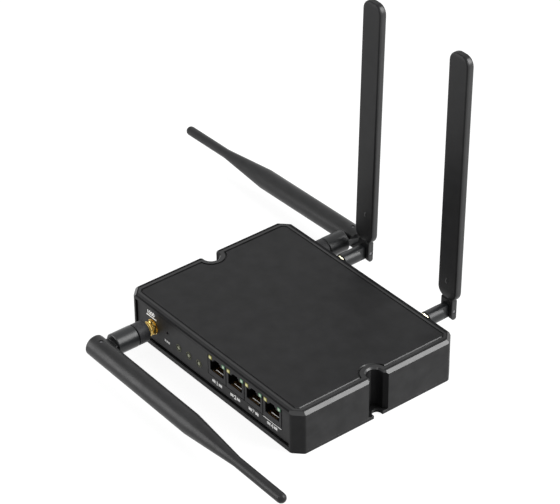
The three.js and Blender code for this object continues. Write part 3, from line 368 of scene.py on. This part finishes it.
def body_of(node):
    """The body that a CAD node moves with."""
    return frame["nodes"][node]["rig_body"]


def slot_of(node):
    """The material slot of a CAD node."""
    for entry in frame["record"]["subparts"]:
        if entry["node"] == node:
            return entry["material_slot"]
    raise SystemExit(f"no slot for {node}")


def in_place_of(made, node):
    """Hides a CAD node that the given piece stands in for, and returns the piece."""
    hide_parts(node)
    return made


def refined(node, material, width):
    """A finer copy of a CAD node, with joined faces and rounded edges, in its place."""
    bm = joined_faces(node)
    bevelled(bm, sharp_edges(bm), width, REFINED_SEGMENTS)
    return in_place_of(finished(bm, node + "_fine", body_of(node), material), node)


def block(name, low, high, width, material, body):
    """A small block with rounded edges between two corners."""
    low, high = Vector(low), Vector(high)
    bm = bmesh.new()
    bmesh.ops.create_cube(bm, size=1)
    bmesh.ops.scale(bm, vec=high - low, verts=bm.verts)
    bmesh.ops.translate(bm, vec=(low + high) / 2, verts=bm.verts)
    bevelled(bm, bm.edges[:], width)
    return finished(bm, name, body, material)


def constant(radius):
    """The same radius at every angle."""
    return lambda angle: radius


def ring_mesh(levels, bore, place, outward, around=RING_STEPS):
    """A closed ring about Y: at each level a station and a radius for each angle, then the bore."""
    first, last = levels[0][0], levels[-1][0]
    rows = [*levels, (last, constant(bore)), (first, constant(bore))]
    bm = bmesh.new()
    grid = []
    for station, radius_at in rows:
        ring = []
        for k in range(around):
            angle = math.tau * k / around
            radius = radius_at(angle)
            ring.append(bm.verts.new((
                place[0] + radius * math.cos(angle),
                place[1] + outward * station,
                place[2] + radius * math.sin(angle),
            )))
        grid.append(ring)
    for row, ring in enumerate(grid):
        following = grid[(row + 1) % len(grid)]
        for k in range(around):
            n = (k + 1) % around
            bm.faces.new((ring[k], ring[n], following[n], following[k]))
    bmesh.ops.recalc_face_normals(bm, faces=bm.faces)
    return bm


# ---------------------------------------------------------------- housing

# A reach is a distance in from the front or rear outline, and a depth one down from the top.
CORNER_REACH = 6 * MM
CORNER_ROUNDING = 1.0 * MM
CORNER_SEGMENTS = 5
EDGE_ROUNDING = 0.22 * MM
UPRIGHT_WITHIN = 1e-6
ON_OUTLINE_WITHIN = 1e-5
FACES_UP = 0.99
FACES_SIDEWAYS = 0.05


def within(value, limits):
    """True between the two limits."""
    return limits[0] < value < limits[1]


def is_housing_corner(edge, high):
    """True for the outer upright edges at the housing's cut corners."""
    a, b = (v.co for v in edge.verts)
    if (a - b).xy.length > UPRIGHT_WITHIN:
        return False
    x, y = abs(a.x), abs(a.y)
    on_side = abs(x - high.x) < ON_OUTLINE_WITHIN and y > high.y - CORNER_REACH
    on_end = abs(y - high.y) < ON_OUTLINE_WITHIN and x > high.x - CORNER_REACH
    return on_side or on_end


GROOVE_TOP_SHIFT = 0.2 * MM
GROOVE_FOOT_SHIFT = 0.38 * MM
GROOVE_END_SHARE = 0.2
GROOVE_END_RISE = 0.4 * MM
GROOVE_END_REACH = (3.5 * MM, 5.2 * MM)
GROOVE_FLOOR_DEPTH = (0.4 * MM, 1.2 * MM)


def slope_groove(bm):
    """Leans the inner wall of the channel round the top face, so that the wall catches the light."""
    plateau = max((f for f in bm.faces if f.normal.z > FACES_UP), key=lambda f: f.calc_area())
    share = Vector((1, GROOVE_END_SHARE, 1))
    moves = []
    for corner in plateau.verts:
        walls = [f.normal for f in corner.link_faces if abs(f.normal.z) < FACES_SIDEWAYS]
        outward = sum(walls, Vector()) / (1 + walls[0].dot(walls[-1]))
        if len(walls) == 1:
            outward = walls[0].copy()
        ends = [e.other_vert(corner) for e in corner.link_edges]
        foot = min(ends, key=lambda v: (v.co - corner.co).xy.length)
        moves.append((corner, foot, outward))
    for corner, foot, outward in moves:
        corner.co -= outward * share * GROOVE_TOP_SHIFT
        foot.co += outward * share * GROOVE_FOOT_SHIFT


RIM_SIDE_INSET = 3.2 * MM
RIM_END_INSET = 2.5 * MM
RIM_CORNER_INSET = 2.4 * MM
OUTER_STRIP_CORNERS = 6
TOP_WITHIN = 0.01 * MM


def rim_lines(bm, high):
    """The outer edges of the rim beside the groove: each as a point and its outward direction."""
    facet = max(abs(v.co.x) + abs(v.co.y) for v in bm.verts) / math.sqrt(2)
    lines = []
    for side in (-1, 1):
        lines.append((Vector((side * (high.x - RIM_SIDE_INSET), 0, 0)), Vector((side, 0, 0))))
        lines.append((Vector((0, side * (high.y - RIM_END_INSET), 0)), Vector((0, side, 0))))
        for end in (-1, 1):
            outward = Vector((side, end, 0)).normalized()
            lines.append((outward * (facet - RIM_CORNER_INSET), outward))
    return lines


def top_strip(bm, top):
    """The faces of the flat strip outside the groove."""
    raised = [f for f in bm.faces if f.normal.z > FACES_UP]
    faces = [f for f in raised if f.calc_center_median().z > top - TOP_WITHIN]
    plateau = max(faces, key=lambda f: f.calc_area())
    return [f for f in faces if f != plateau]


def mark_rim(bm, high):
    """Cuts the flat strip in two. Its inner part gets a lighter copy of the plastic as a painted
    highlight, and its outer part on the rear and left gets a darker copy as painted shade.
    """
    for point, outward in rim_lines(bm, high):
        strip = top_strip(bm, high.z)
        edges = {e for f in strip for e in f.edges}
        verts = {v for f in strip for v in f.verts}
        bmesh.ops.bisect_plane(
            bm, geom=[*verts, *edges, *strip], dist=WELD_WITHIN, plane_co=point, plane_no=outward)
        bm.normal_update()
    for face in top_strip(bm, high.z):
        middle = face.calc_center_median()
        if len(face.verts) > OUTER_STRIP_CORNERS:
            face.material_index = RIM
        elif middle.y > middle.x:
            face.material_index = PAINTED_SHADE


def raise_groove_ends(bm, high):
    """Makes the groove shallower along the front and the rear."""
    for vert in bm.verts:
        reach = high.y - abs(vert.co.y)
        depth = high.z - vert.co.z
        if within(reach, GROOVE_END_REACH) and within(depth, GROOVE_FLOOR_DEPTH):
            vert.co.z += GROOVE_END_RISE


# The cover's looks, in the order of its materials, and the normals and places that choose them: the plain
# plastic, and lighter and darker copies of it that paint light and shade.
PLAIN, SIDE, EDGE, PAINTED_SHADE, RIM = range(5)
TOP_FROM = 0.95
WALL_TO = 0.3
SIDE_FROM = 0.95
FRONT_WALL_FROM = 0.5
EDGE_FROM = 0.3
GROOVE_REACH = (3 * MM, 6 * MM)
GROOVE_FLOOR_FROM = 0.2 * MM
GROOVE_WALL_TO = 1.5 * MM
NOTCH_REACH = 12 * MM
END_CHAMFER_REACH = 1.5 * MM


def wall_look(normal, reach, depth):
    """The look of an upright face: a lighter copy on the sides as painted light, a lighter copy on the
    groove's walls that face the front as painted highlight, and a darker copy in the notches as painted
    shade.
    """
    if abs(normal.x) > SIDE_FROM:
        return SIDE
    if normal.y < -FRONT_WALL_FROM and within(reach, GROOVE_REACH) and depth < GROOVE_WALL_TO:
        return RIM
    return PAINTED_SHADE if reach > NOTCH_REACH else PLAIN


def cover_look(face, high):
    """Which of the cover's looks a face has, by the way that it faces and its place, so that light and
    shade are painted by the face's direction.
    """
    normal = face.normal
    middle = face.calc_center_median()
    reach = high.y - abs(middle.y)
    depth = high.z - middle.z
    if normal.z >= TOP_FROM:
        in_front_groove = middle.y < 0 and within(reach, GROOVE_REACH)
        return RIM if in_front_groove and depth > GROOVE_FLOOR_FROM else face.material_index
    if abs(normal.z) <= WALL_TO:
        return wall_look(normal, reach, depth)
    if normal.z < 0:
        return PLAIN
    if abs(normal.x) > EDGE_FROM:
        return EDGE
    return PAINTED_SHADE if reach < END_CHAMFER_REACH else PLAIN


def cover(node):
    """A housing shell: rounded corners, and lighter and darker copies of its plastic by the way each face
    turns, as painted light and shade. The side chamfers also have a smoother polish.
    """
    bm = joined_faces(node)
    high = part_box("top_cover")[1]
    if node == "top_cover":
        slope_groove(bm)
        raise_groove_ends(bm, high)
        mark_rim(bm, high)
    corners = [e for e in bm.edges if is_housing_corner(e, high)]
    bevelled(bm, corners, CORNER_ROUNDING, CORNER_SEGMENTS)
    bevelled(bm, sharp_edges(bm), EDGE_ROUNDING)
    bm.normal_update()
    for face in bm.faces:
        face.material_index = cover_look(face, high)
    looks = (SHELL, SHELL_SIDE_LIT, SHELL_EDGE_LIT, SHELL_SHADE, SHELL_HIGHLIGHT)
    made = finished(bm, node + "_fine", body_of(node), *looks)
    return in_place_of(made, node)


PANEL_GAP = 0.4 * MM
PANEL_GAP_INSIDE = 0.1 * MM
PANEL_GAP_OUTSIDE = 0.6 * MM
PANEL_ROUNDING = 0.12 * MM


def front_panel(node):
    """The front panel, with a dark gap beside the last socket."""
    bm = joined_faces(node)
    low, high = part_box(f"port_{PORT_COUNT}")
    for vert in bm.verts:
        beside = high.x - PANEL_GAP_INSIDE < vert.co.x < high.x + PANEL_GAP_OUTSIDE
        if beside and low.z - MM < vert.co.z < high.z + MM:
            vert.co.x += PANEL_GAP
    bevelled(bm, sharp_edges(bm), PANEL_ROUNDING)
    return in_place_of(finished(bm, node + "_fine", body_of(node), PANEL), node)


# ---------------------------------------------------------------- network sockets

PORT_WALL = 0.3 * MM
PORT_INSIDE = 1
RAIL_DEPTH = 1.6 * MM
RAIL_SIZE = (6.2 * MM, 0.4 * MM, 0.42 * MM)
RAIL_SHIFT = 0.5 * MM
RAIL_RISE = 0.1 * MM
RAIL_ROUNDING = 0.1 * MM
WIRE_COUNT = 8
WIRE_RADIUS = 0.13 * MM
WIRE_SEGMENTS = 10
WIRE_FRONT = 0.25 * MM
WIRE_INSET = 0.25 * MM
WIRE_GAP = 0.03 * MM
WIRE_FRONT_RISE = 0.15 * MM
WIRE_RAIL_RISE = 0.22 * MM
WIRE_COMB_RISE = 0.2 * MM


def port_shell(node):
    """A socket body whose inside is painted near black, as painted shade in the hollow."""
    low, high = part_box(node)
    bm = joined_faces(node)
    bevelled(bm, sharp_edges(bm), SMALL_ROUNDING)
    for face in bm.faces:
        middle = face.calc_center_median()
        behind = low.y + PORT_WALL < middle.y
        between = low.x + PORT_WALL < middle.x < high.x - PORT_WALL
        if behind and between and low.z + PORT_WALL < middle.z < high.z - PORT_WALL:
            face.material_index = PORT_INSIDE
    return in_place_of(finished(bm, node + "_fine", body_of(node), PORT, HOLE_SHADE), node)


def rod(bm, start, end, radius):
    """Adds a thin round rod between two points."""
    made = bmesh.ops.create_cone(
        bm, cap_ends=True, segments=WIRE_SEGMENTS, radius1=radius, radius2=radius,
        depth=(end - start).length,
    )
    turn = (end - start).to_track_quat("Z", "Y").to_matrix().to_4x4()
    place = Matrix.Translation((start + end) / 2)
    bmesh.ops.transform(bm, matrix=place @ turn, verts=made["verts"])


def contact_rail(port):
    """A pale rail across a socket's contacts: a painted highlight that stands for the light caught on the
    contact springs. Returns where it starts and ends along Y.
    """
    comb_low, comb_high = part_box(f"{port}_contacts")
    width, thickness, height = RAIL_SIZE
    middle = (comb_low.x + comb_high.x) / 2 + RAIL_SHIFT
    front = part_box(port)[0].y + RAIL_DEPTH
    foot = comb_low.z + RAIL_RISE
    low = (middle - width / 2, front, foot)
    high = (middle + width / 2, front + thickness, foot + height)
    # The pale rail is a painted highlight on the contacts.
    rail = block(f"{port}_contact_rail", low, high, RAIL_ROUNDING, PALE, body_of(port))
    return low[1], high[1]


def contact_wires(port, rail_front, rail_back):
    """The eight wires of a socket, from its mouth to the rail and from the rail to the comb."""
    comb_low, comb_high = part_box(f"{port}_contacts")
    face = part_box(port)[0].y
    floor = comb_low.z
    bm = bmesh.new()
    pitch = (comb_high.x - comb_low.x - 2 * WIRE_INSET) / (WIRE_COUNT - 1)
    for k in range(WIRE_COUNT):
        x = comb_low.x + WIRE_INSET + pitch * k
        mouth = Vector((x, face + WIRE_FRONT, floor + WIRE_FRONT_RISE))
        before = Vector((x, rail_front - WIRE_GAP, floor + WIRE_RAIL_RISE))
        behind = Vector((x, rail_back + WIRE_GAP, floor + WIRE_RAIL_RISE))
        comb = Vector((x, comb_low.y - WIRE_GAP, floor + WIRE_COMB_RISE))
        rod(bm, mouth, before, WIRE_RADIUS)
        rod(bm, behind, comb, WIRE_RADIUS)
    wires = finished(bm, f"{port}_wires", body_of(port), DARK_BRASS)


# ---------------------------------------------------------------- print on the front panel

PRINT_THICKNESS = 0.03 * MM
PRINT_BOLDNESS = 0.18 * MM
PRINT_CLEARANCE = 0.002 * MM
PRINT_ROUNDING = 0.01 * MM
PRINT_WELD_WITHIN = 1e-7
FIGURE_SHARE = 0.72


def panel_face():
    """Where the front panel's face lies along Y."""
    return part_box("front_panel")[0].y


def printed_bar(name, x0, x1, z0, z1):
    """A plain printed bar on the panel, from x0 to x1 and from z0 to z1."""
    face = panel_face()
    low = (x0, face - PRINT_THICKNESS, z0)
    high = (x1, face - PRINT_CLEARANCE, z1)
    made = block(name, low, high, PRINT_ROUNDING, INK, "housing")


def figures(name, text, height):
    """A thin mesh of a line of figures, upright in its own XY plane and centred on its foot."""
    curve = bpy.data.curves.new(name, "FONT")
    curve.body = text
    curve.size = height / FIGURE_SHARE
    curve.align_x = "CENTER"
    curve.extrude = PRINT_THICKNESS / 2
    curve.offset = PRINT_BOLDNESS
    source = bpy.data.objects.new(name + "_curve", curve)
    bpy.context.scene.collection.objects.link(source)
    bpy.context.view_layer.update()
    evaluated = source.evaluated_get(bpy.context.evaluated_depsgraph_get())
    mesh = bpy.data.meshes.new_from_object(evaluated)
    bpy.data.objects.remove(source)
    bpy.data.curves.remove(curve)
    bm = bmesh.new()
    bm.from_mesh(mesh)
    bpy.data.meshes.remove(mesh)
    bmesh.ops.remove_doubles(bm, verts=bm.verts, dist=PRINT_WELD_WITHIN)
    return bm


def printed_number(name, text, x, z, height):
    """Plain figures on the panel, with their middle at x and their foot at z."""
    bm = figures(name, text, height)
    turn = Matrix.Rotation(math.pi / 2, 4, "X")
    place = Matrix.Translation((x, panel_face() - PRINT_THICKNESS / 2 - PRINT_CLEARANCE, z))
    bmesh.ops.transform(bm, matrix=place @ turn, verts=bm.verts)
    made = finished(bm, name, "housing", INK)


LABEL_HALF_WIDTH = 4.3 * MM
LABEL_HEIGHT = 2.6 * MM
LABEL_BAR = (2.9 * MM, 1.75 * MM)
LABEL_DROP = 4.1 * MM
LINE_DROPS = (0.85 * MM, 0.35 * MM)


def socket_label(k):
    """A plain number between two bars under a network socket."""
    low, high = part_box(f"port_{k}")
    x = (low.x + high.x) / 2
    foot = low.z - LABEL_DROP
    middle = foot + LABEL_HEIGHT / 2
    length, height = LABEL_BAR
    printed_number(f"label_{k}", str(k), x, foot, LABEL_HEIGHT)
    for side, word in ((-1, "left"), (1, "right")):
        outer = x + side * LABEL_HALF_WIDTH
        inner = x + side * (LABEL_HALF_WIDTH - length)
        left, right = sorted((outer, inner))
        name = f"label_{k}_bar_{word}"
        printed_bar(name, left, right, middle - height / 2, middle + height / 2)


def socket_labels():
    """The labels of all the network sockets, and a line over the last one's."""
    for k in range(1, PORT_COUNT + 1):
        socket_label(k)
    low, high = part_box(f"port_{PORT_COUNT}")
    printed_bar("socket_line", low.x, high.x, low.z - LINE_DROPS[0], low.z - LINE_DROPS[1])


AERIAL_LABEL_SHIFT = 1.2 * MM
AERIAL_LABEL_RISE = 2.2 * MM
AERIAL_NUMBER_SHIFT = 0.6 * MM
AERIAL_NUMBER_HEIGHT = 2.5 * MM
AERIAL_BAR_HALF_WIDTH = 4.6 * MM
AERIAL_BAR_DROPS = (1.4 * MM, 0.6 * MM)


def aerial_label():
    """A plain number over a bar above the front aerial's socket."""
    low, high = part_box("socket_nut_front")
    x = (low.x + high.x) / 2 - AERIAL_LABEL_SHIFT
    foot = high.z + AERIAL_LABEL_RISE
    printed_number("aerial_number", "1000", x - AERIAL_NUMBER_SHIFT, foot, AERIAL_NUMBER_HEIGHT)
    left, right = x - AERIAL_BAR_HALF_WIDTH, x + AERIAL_BAR_HALF_WIDTH
    printed_bar("aerial_bar", left, right, foot - AERIAL_BAR_DROPS[0], foot - AERIAL_BAR_DROPS[1])


DASH_COUNT = 3
DASH_START = 2.9 * MM
DASH_PITCH = 1.7 * MM
DASH_LENGTH = 1.3 * MM
DASH_DROPS = (5.2 * MM, 3.7 * MM)


def reset_label():
    """Three dashes under the reset button."""
    low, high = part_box("reset_plunger")
    x = (low.x + high.x) / 2
    for k in range(DASH_COUNT):
        start = x - DASH_START + DASH_PITCH * k
        name = f"reset_dash_{k + 1}"
        printed_bar(name, start, start + DASH_LENGTH, low.z - DASH_DROPS[0], low.z - DASH_DROPS[1])


BEZEL_WIDTH = 0.55 * MM
BEZEL_SINK = 0.1 * MM
BEZEL_SHOULDER = 0.18 * MM
BEZEL_HEIGHT = 0.28 * MM
BEZEL_CLEARANCE = 0.05 * MM
BEZEL_STEPS = 48


def status_bezel(node):
    """A raised ring round a status light."""
    low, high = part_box(node)
    radius = (high.x - low.x) / 2
    place = ((low.x + high.x) / 2, panel_face() + BEZEL_SINK, (low.z + high.z) / 2)
    levels = [
        (0, constant(radius + BEZEL_WIDTH)),
        (BEZEL_SHOULDER, constant(radius + BEZEL_WIDTH)),
        (BEZEL_HEIGHT, constant(radius + BEZEL_WIDTH / 2)),
    ]
    bm = ring_mesh(levels, radius + BEZEL_CLEARANCE, place, -1, BEZEL_STEPS)
    made = finished(bm, node + "_bezel", "housing", STATUS_BEZEL)


def status_bezels():
    """The rings of all the status lights."""
    for node in frame["nodes"]:
        if slot_of(node) == "status_lens":
            status_bezel(node)


# ---------------------------------------------------------------- threaded nuts

END_SLOPE = 1.2
CHAMFER_START = 0.05 * MM
CHAMFER_DEPTHS = (0, 0.17 * MM, 0.34 * MM, 0.5 * MM)
THREAD_PITCH = 1.3 * MM
THREAD_DEPTH = 0.38 * MM
LEVELS_PER_TURN = 12


def hexagon(flats):
    """Radius of a hexagon at each angle, with flats facing along X."""
    step = math.pi / 3
    return lambda angle: flats / 2 / math.cos((angle + step / 2) % step - step / 2)


def chamfered(radius_at, flats, depth):
    """The radius cut back by the cone that chamfers a nut's corners, so far from its end."""
    limit = flats / 2 + CHAMFER_START + END_SLOPE * depth
    return lambda angle: min(radius_at(angle), limit)


def hex_levels(flats, start, end):
    """Levels of a hexagonal nut whose corners are chamfered at both ends."""
    shape = hexagon(flats)
    near = [(start + d, chamfered(shape, flats, d)) for d in CHAMFER_DEPTHS]
    far = [(end - d, chamfered(shape, flats, d)) for d in reversed(CHAMFER_DEPTHS)]
    return near + far


def thread_levels(radius, start, end):
    """Levels of a helical thread, cut back at both ends."""
    def radius_at(station):
        edge = min(station - start, end - station)
        limit = radius - THREAD_DEPTH + END_SLOPE * edge

        def at(angle):
            phase = ((station - start) / THREAD_PITCH + angle / math.tau) % 1
            return min(radius - THREAD_DEPTH * abs(2 * phase - 1), limit)
        return at

    count = round((end - start) / THREAD_PITCH * LEVELS_PER_TURN)
    stations = [start + (end - start) * k / count for k in range(count + 1)]
    return [(station, radius_at(station)) for station in stations]


NUT_FLATS = 8 * MM
NUT_START = 0.55 * MM
NUT_END = 2.5 * MM
THREAD_START = 2.9 * MM
WASHER_LENGTH = 0.4 * MM
WASHER_RADIUS = 4.6 * MM
NECK_RADIUS = 3.75 * MM
RING_RADIUS = 4.4 * MM
BORE_RADIUS = 3.45 * MM


def along_y(node, outward):
    """The middle of a node's end that is nearer the housing, and its length along Y."""
    low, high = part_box(node)
    near = low.y if outward > 0 else high.y
    return ((low.x + high.x) / 2, near, (low.z + high.z) / 2), high.y - low.y


def socket_nut(node, outward):
    """Washer and panel nut with a threaded ring in front of them."""
    place, length = along_y(node, outward)
    levels = [(0, constant(WASHER_RADIUS)), (WASHER_LENGTH, constant(WASHER_RADIUS))]
    levels += [(WASHER_LENGTH, constant(NECK_RADIUS)), (NUT_START, constant(NECK_RADIUS))]
    levels += hex_levels(NUT_FLATS, NUT_START, NUT_END)
    levels += [(NUT_END, constant(NECK_RADIUS)), (THREAD_START, constant(NECK_RADIUS))]
    levels += thread_levels(RING_RADIUS, THREAD_START, length)
    bm = ring_mesh(levels, BORE_RADIUS, place, outward)
    made = finished(bm, node + "_fine", "housing", GOLD)
    made.data.set_sharp_from_angle(angle=ROUNDED_FROM)
    return in_place_of(made, node)


def coupling_nut(node):
    """Hexagonal coupling nut of a blade aerial."""
    place, length = along_y(node, 1)
    bm = ring_mesh(hex_levels(NUT_FLATS, 0, length), BORE_RADIUS, place, 1)
    made = finished(bm, node + "_fine", "housing", NICKEL)
    made.data.set_sharp_from_angle(angle=ROUNDED_FROM)
    return in_place_of(made, node)


# ---------------------------------------------------------------- aerials

BLADE_RECLINE = math.radians(0.6)
BLADE_LEANS = {"blade_1": math.radians(1.1), "blade_2": math.radians(0.5)}
BLADE_MARKS = {"blade_1": (1.3 * MM, 26.5 * MM), "blade_2": (-0.5 * MM, 19.5 * MM)}
BLADE_FRONT = 2.4 * MM
BLADE_SIDE_FROM = 0.6
MARK_RADII = (0.8 * MM, 0.3 * MM, 1.7 * MM)
MARK_STEPS = (32, 16)


def blade_mark(name, across, rise):
    """A small oval boss low on the broad face of a blade that faces the housing."""
    elbow = next(j for j in frame["joints"] if j["name"] == f"{name}_elbow")
    bm = bmesh.new()
    around, along = MARK_STEPS
    bmesh.ops.create_uvsphere(bm, u_segments=around, v_segments=along, radius=1)
    bmesh.ops.scale(bm, vec=MARK_RADII, verts=bm.verts)
    bmesh.ops.translate(bm, vec=(across, -BLADE_FRONT, rise), verts=bm.verts)
    turn = Matrix.Rotation(BLADE_LEANS[name], 4, "Y") @ Matrix.Rotation(-BLADE_RECLINE, 4, "X")
    place = Matrix.Translation(elbow["pos_m"])
    bmesh.ops.transform(bm, matrix=place @ turn, verts=bm.verts)
    # The boss is in the narrow sides' lighter copy: painted highlight.
    made = finished(bm, f"{name}_mark", f"{name}_arm", BLADE_SIDE_LIT)


def blade(node):
    """A blade aerial's arm, whose narrow sides take a lighter, glossier copy of the plastic as a painted
    highlight.
    """
    bm = joined_faces(node)
    bevelled(bm, sharp_edges(bm), SMALL_ROUNDING)
    bm.normal_update()
    for face in bm.faces:
        face.material_index = int(abs(face.normal.x) > BLADE_SIDE_FROM)
    return in_place_of(finished(bm, node + "_fine", body_of(node), BLADE, BLADE_SIDE_LIT), node)


# ---------------------------------------------------------------- the router

LOOK_OF_SLOT = {
    "panel": PANEL, "screw": BLACK_STEEL, "board": BOARD, "shield": TIN,
    "contacts": DARK_BRASS, "yellow_lens": YELLOW_LENS, "green_lens": GREEN_LENS,
    "status_lens": STATUS_LENS, "black_plastic": BLACK, "pale_plastic": PALE,
    "gold_plate": GOLD, "collar": COLLAR, "barrel": BARREL, "pin": STEEL,
    "whip_jacket": WHIP,
}
ROUNDING_OF_SLOT = {"barrel": 0.4 * MM, "whip_jacket": 0.35 * MM, "collar": 0.3 * MM}


def dress():
    """Puts every CAD node into its finished mesh and material."""
    for node in frame["nodes"]:
        slot = slot_of(node)
        if slot == "shell":
            cover(node)
        elif slot == "port_plastic":
            port_shell(node)
            rail_front, rail_back = contact_rail(node)
            contact_wires(node, rail_front, rail_back)
        elif node.startswith("socket_nut"):
            socket_nut(node, -1 if node.endswith("front") else 1)
        elif slot == "nickel_plate":
            coupling_nut(node)
        elif slot == "blade_plastic":
            blade(node)
        elif node == "front_panel":
            front_panel(node)
        else:
            refined(node, LOOK_OF_SLOT[slot], ROUNDING_OF_SLOT.get(slot, SMALL_ROUNDING))


def details():
    """Adds what the CAD doesn't hold: the print, the rings round the lights, the blades' marks."""
    socket_labels()
    aerial_label()
    reset_label()
    status_bezels()
    for name, (across, rise) in BLADE_MARKS.items():
        blade_mark(name, across, rise)


# ---------------------------------------------------------------- studio

CENTRE = Vector((0, 0, 0.03))
AMBIENT = 0.35
FLOOR_SIZE = 8.0
FLOOR_DROP = 0.2 * MM
FLOOR_GLOW = 0.88
FLOOR_SHADED = 0.22
FLOOR_BOUNCE = 0.6

# Each soft box: its name, direction from the centre, distance, size and radiance.
SOFT_BOXES = (
    ("right_box", (0.56, 0.51, 0.65), 1.3, 0.9, 7.8),
    ("left_box", (-0.54, -0.80, 0.25), 0.56, 0.34, 4.6),
    ("front_box", (0.03, -0.62, 0.71), 1.4, 0.3, 6.0),
)


def soft_box(name, direction, distance, size, radiance):
    """A square soft box that faces the object, with a stated radiance."""
    light = bpy.data.lights.new(name, "AREA")
    light.shape = "SQUARE"
    light.size = size
    light.energy = radiance * math.pi * size * size
    made = bpy.data.objects.new(name, light)
    made.location = CENTRE + Vector(direction).normalized() * distance
    made.rotation_mode = "QUATERNION"
    made.rotation_quaternion = (CENTRE - made.location).to_track_quat("-Z", "Y")
    bpy.context.scene.collection.objects.link(made)


def seen_rays(nodes, links):
    """1 for rays that the eye follows, straight or by reflection, and 0 for those that light."""
    path = nodes.new("ShaderNodeLightPath")
    total = path.outputs["Is Camera Ray"]
    for kind in ("Is Glossy Ray", "Is Transmission Ray"):
        larger = nodes.new("ShaderNodeMath")
        larger.operation = "MAXIMUM"
        links.new(total, larger.inputs[0])
        links.new(path.outputs[kind], larger.inputs[1])
        total = larger.outputs[0]
    return total


def add_world():
    """A white world to the eye, and a plain dim one to the object."""
    world = bpy.data.worlds.new("studio")
    bpy.context.scene.world = world
    world.use_nodes = True
    nodes, links = world.node_tree.nodes, world.node_tree.links
    background = nodes["Background"]
    background.inputs["Color"].default_value = (1, 1, 1, 1)
    strength = nodes.new("ShaderNodeMapRange")
    strength.inputs["To Min"].default_value = AMBIENT
    strength.inputs["To Max"].default_value = 1.0
    links.new(seen_rays(nodes, links), strength.inputs["Value"])
    links.new(strength.outputs["Result"], background.inputs["Strength"])


def diffuse(nodes, level):
    """A plain grey surface of the given level."""
    shader = nodes.new("ShaderNodeBsdfDiffuse")
    shader.inputs["Color"].default_value = (level, level, level, 1)
    return shader.outputs["BSDF"]


def floor_material():
    """White to the eye apart from the object's shadow, and plain to the light."""
    material = bpy.data.materials.new("floor")
    material.use_nodes = True
    nodes, links = material.node_tree.nodes, material.node_tree.links
    nodes.remove(nodes["Principled BSDF"])
    glow = nodes.new("ShaderNodeEmission")
    glow.inputs["Strength"].default_value = FLOOR_GLOW
    seen = nodes.new("ShaderNodeAddShader")
    links.new(glow.outputs["Emission"], seen.inputs[0])
    links.new(diffuse(nodes, FLOOR_SHADED), seen.inputs[1])
    chosen = nodes.new("ShaderNodeMixShader")
    links.new(seen_rays(nodes, links), chosen.inputs["Fac"])
    links.new(diffuse(nodes, FLOOR_BOUNCE), chosen.inputs[1])
    links.new(seen.outputs["Shader"], chosen.inputs[2])
    links.new(chosen.outputs["Shader"], nodes["Material Output"].inputs["Surface"])
    return material


def add_floor():
    """A wide white floor that keeps the object's shadow."""
    bm = bmesh.new()
    bmesh.ops.create_grid(bm, x_segments=1, y_segments=1, size=FLOOR_SIZE / 2)
    mesh = bpy.data.meshes.new("floor")
    bm.to_mesh(mesh)
    bm.free()
    floor = new_object("floor", mesh, floor_material())
    floor.location.z = -FLOOR_DROP


def add_lights():
    """Soft boxes either side of the camera's view, and a small one high in front."""
    for name, direction, distance, size, radiance in SOFT_BOXES:
        soft_box(name, direction, distance, size, radiance)


add_camera()
dress()
details()
add_world()
add_floor()
add_lights()

scene = bpy.context.scene
scene.view_settings.view_transform = "Standard"
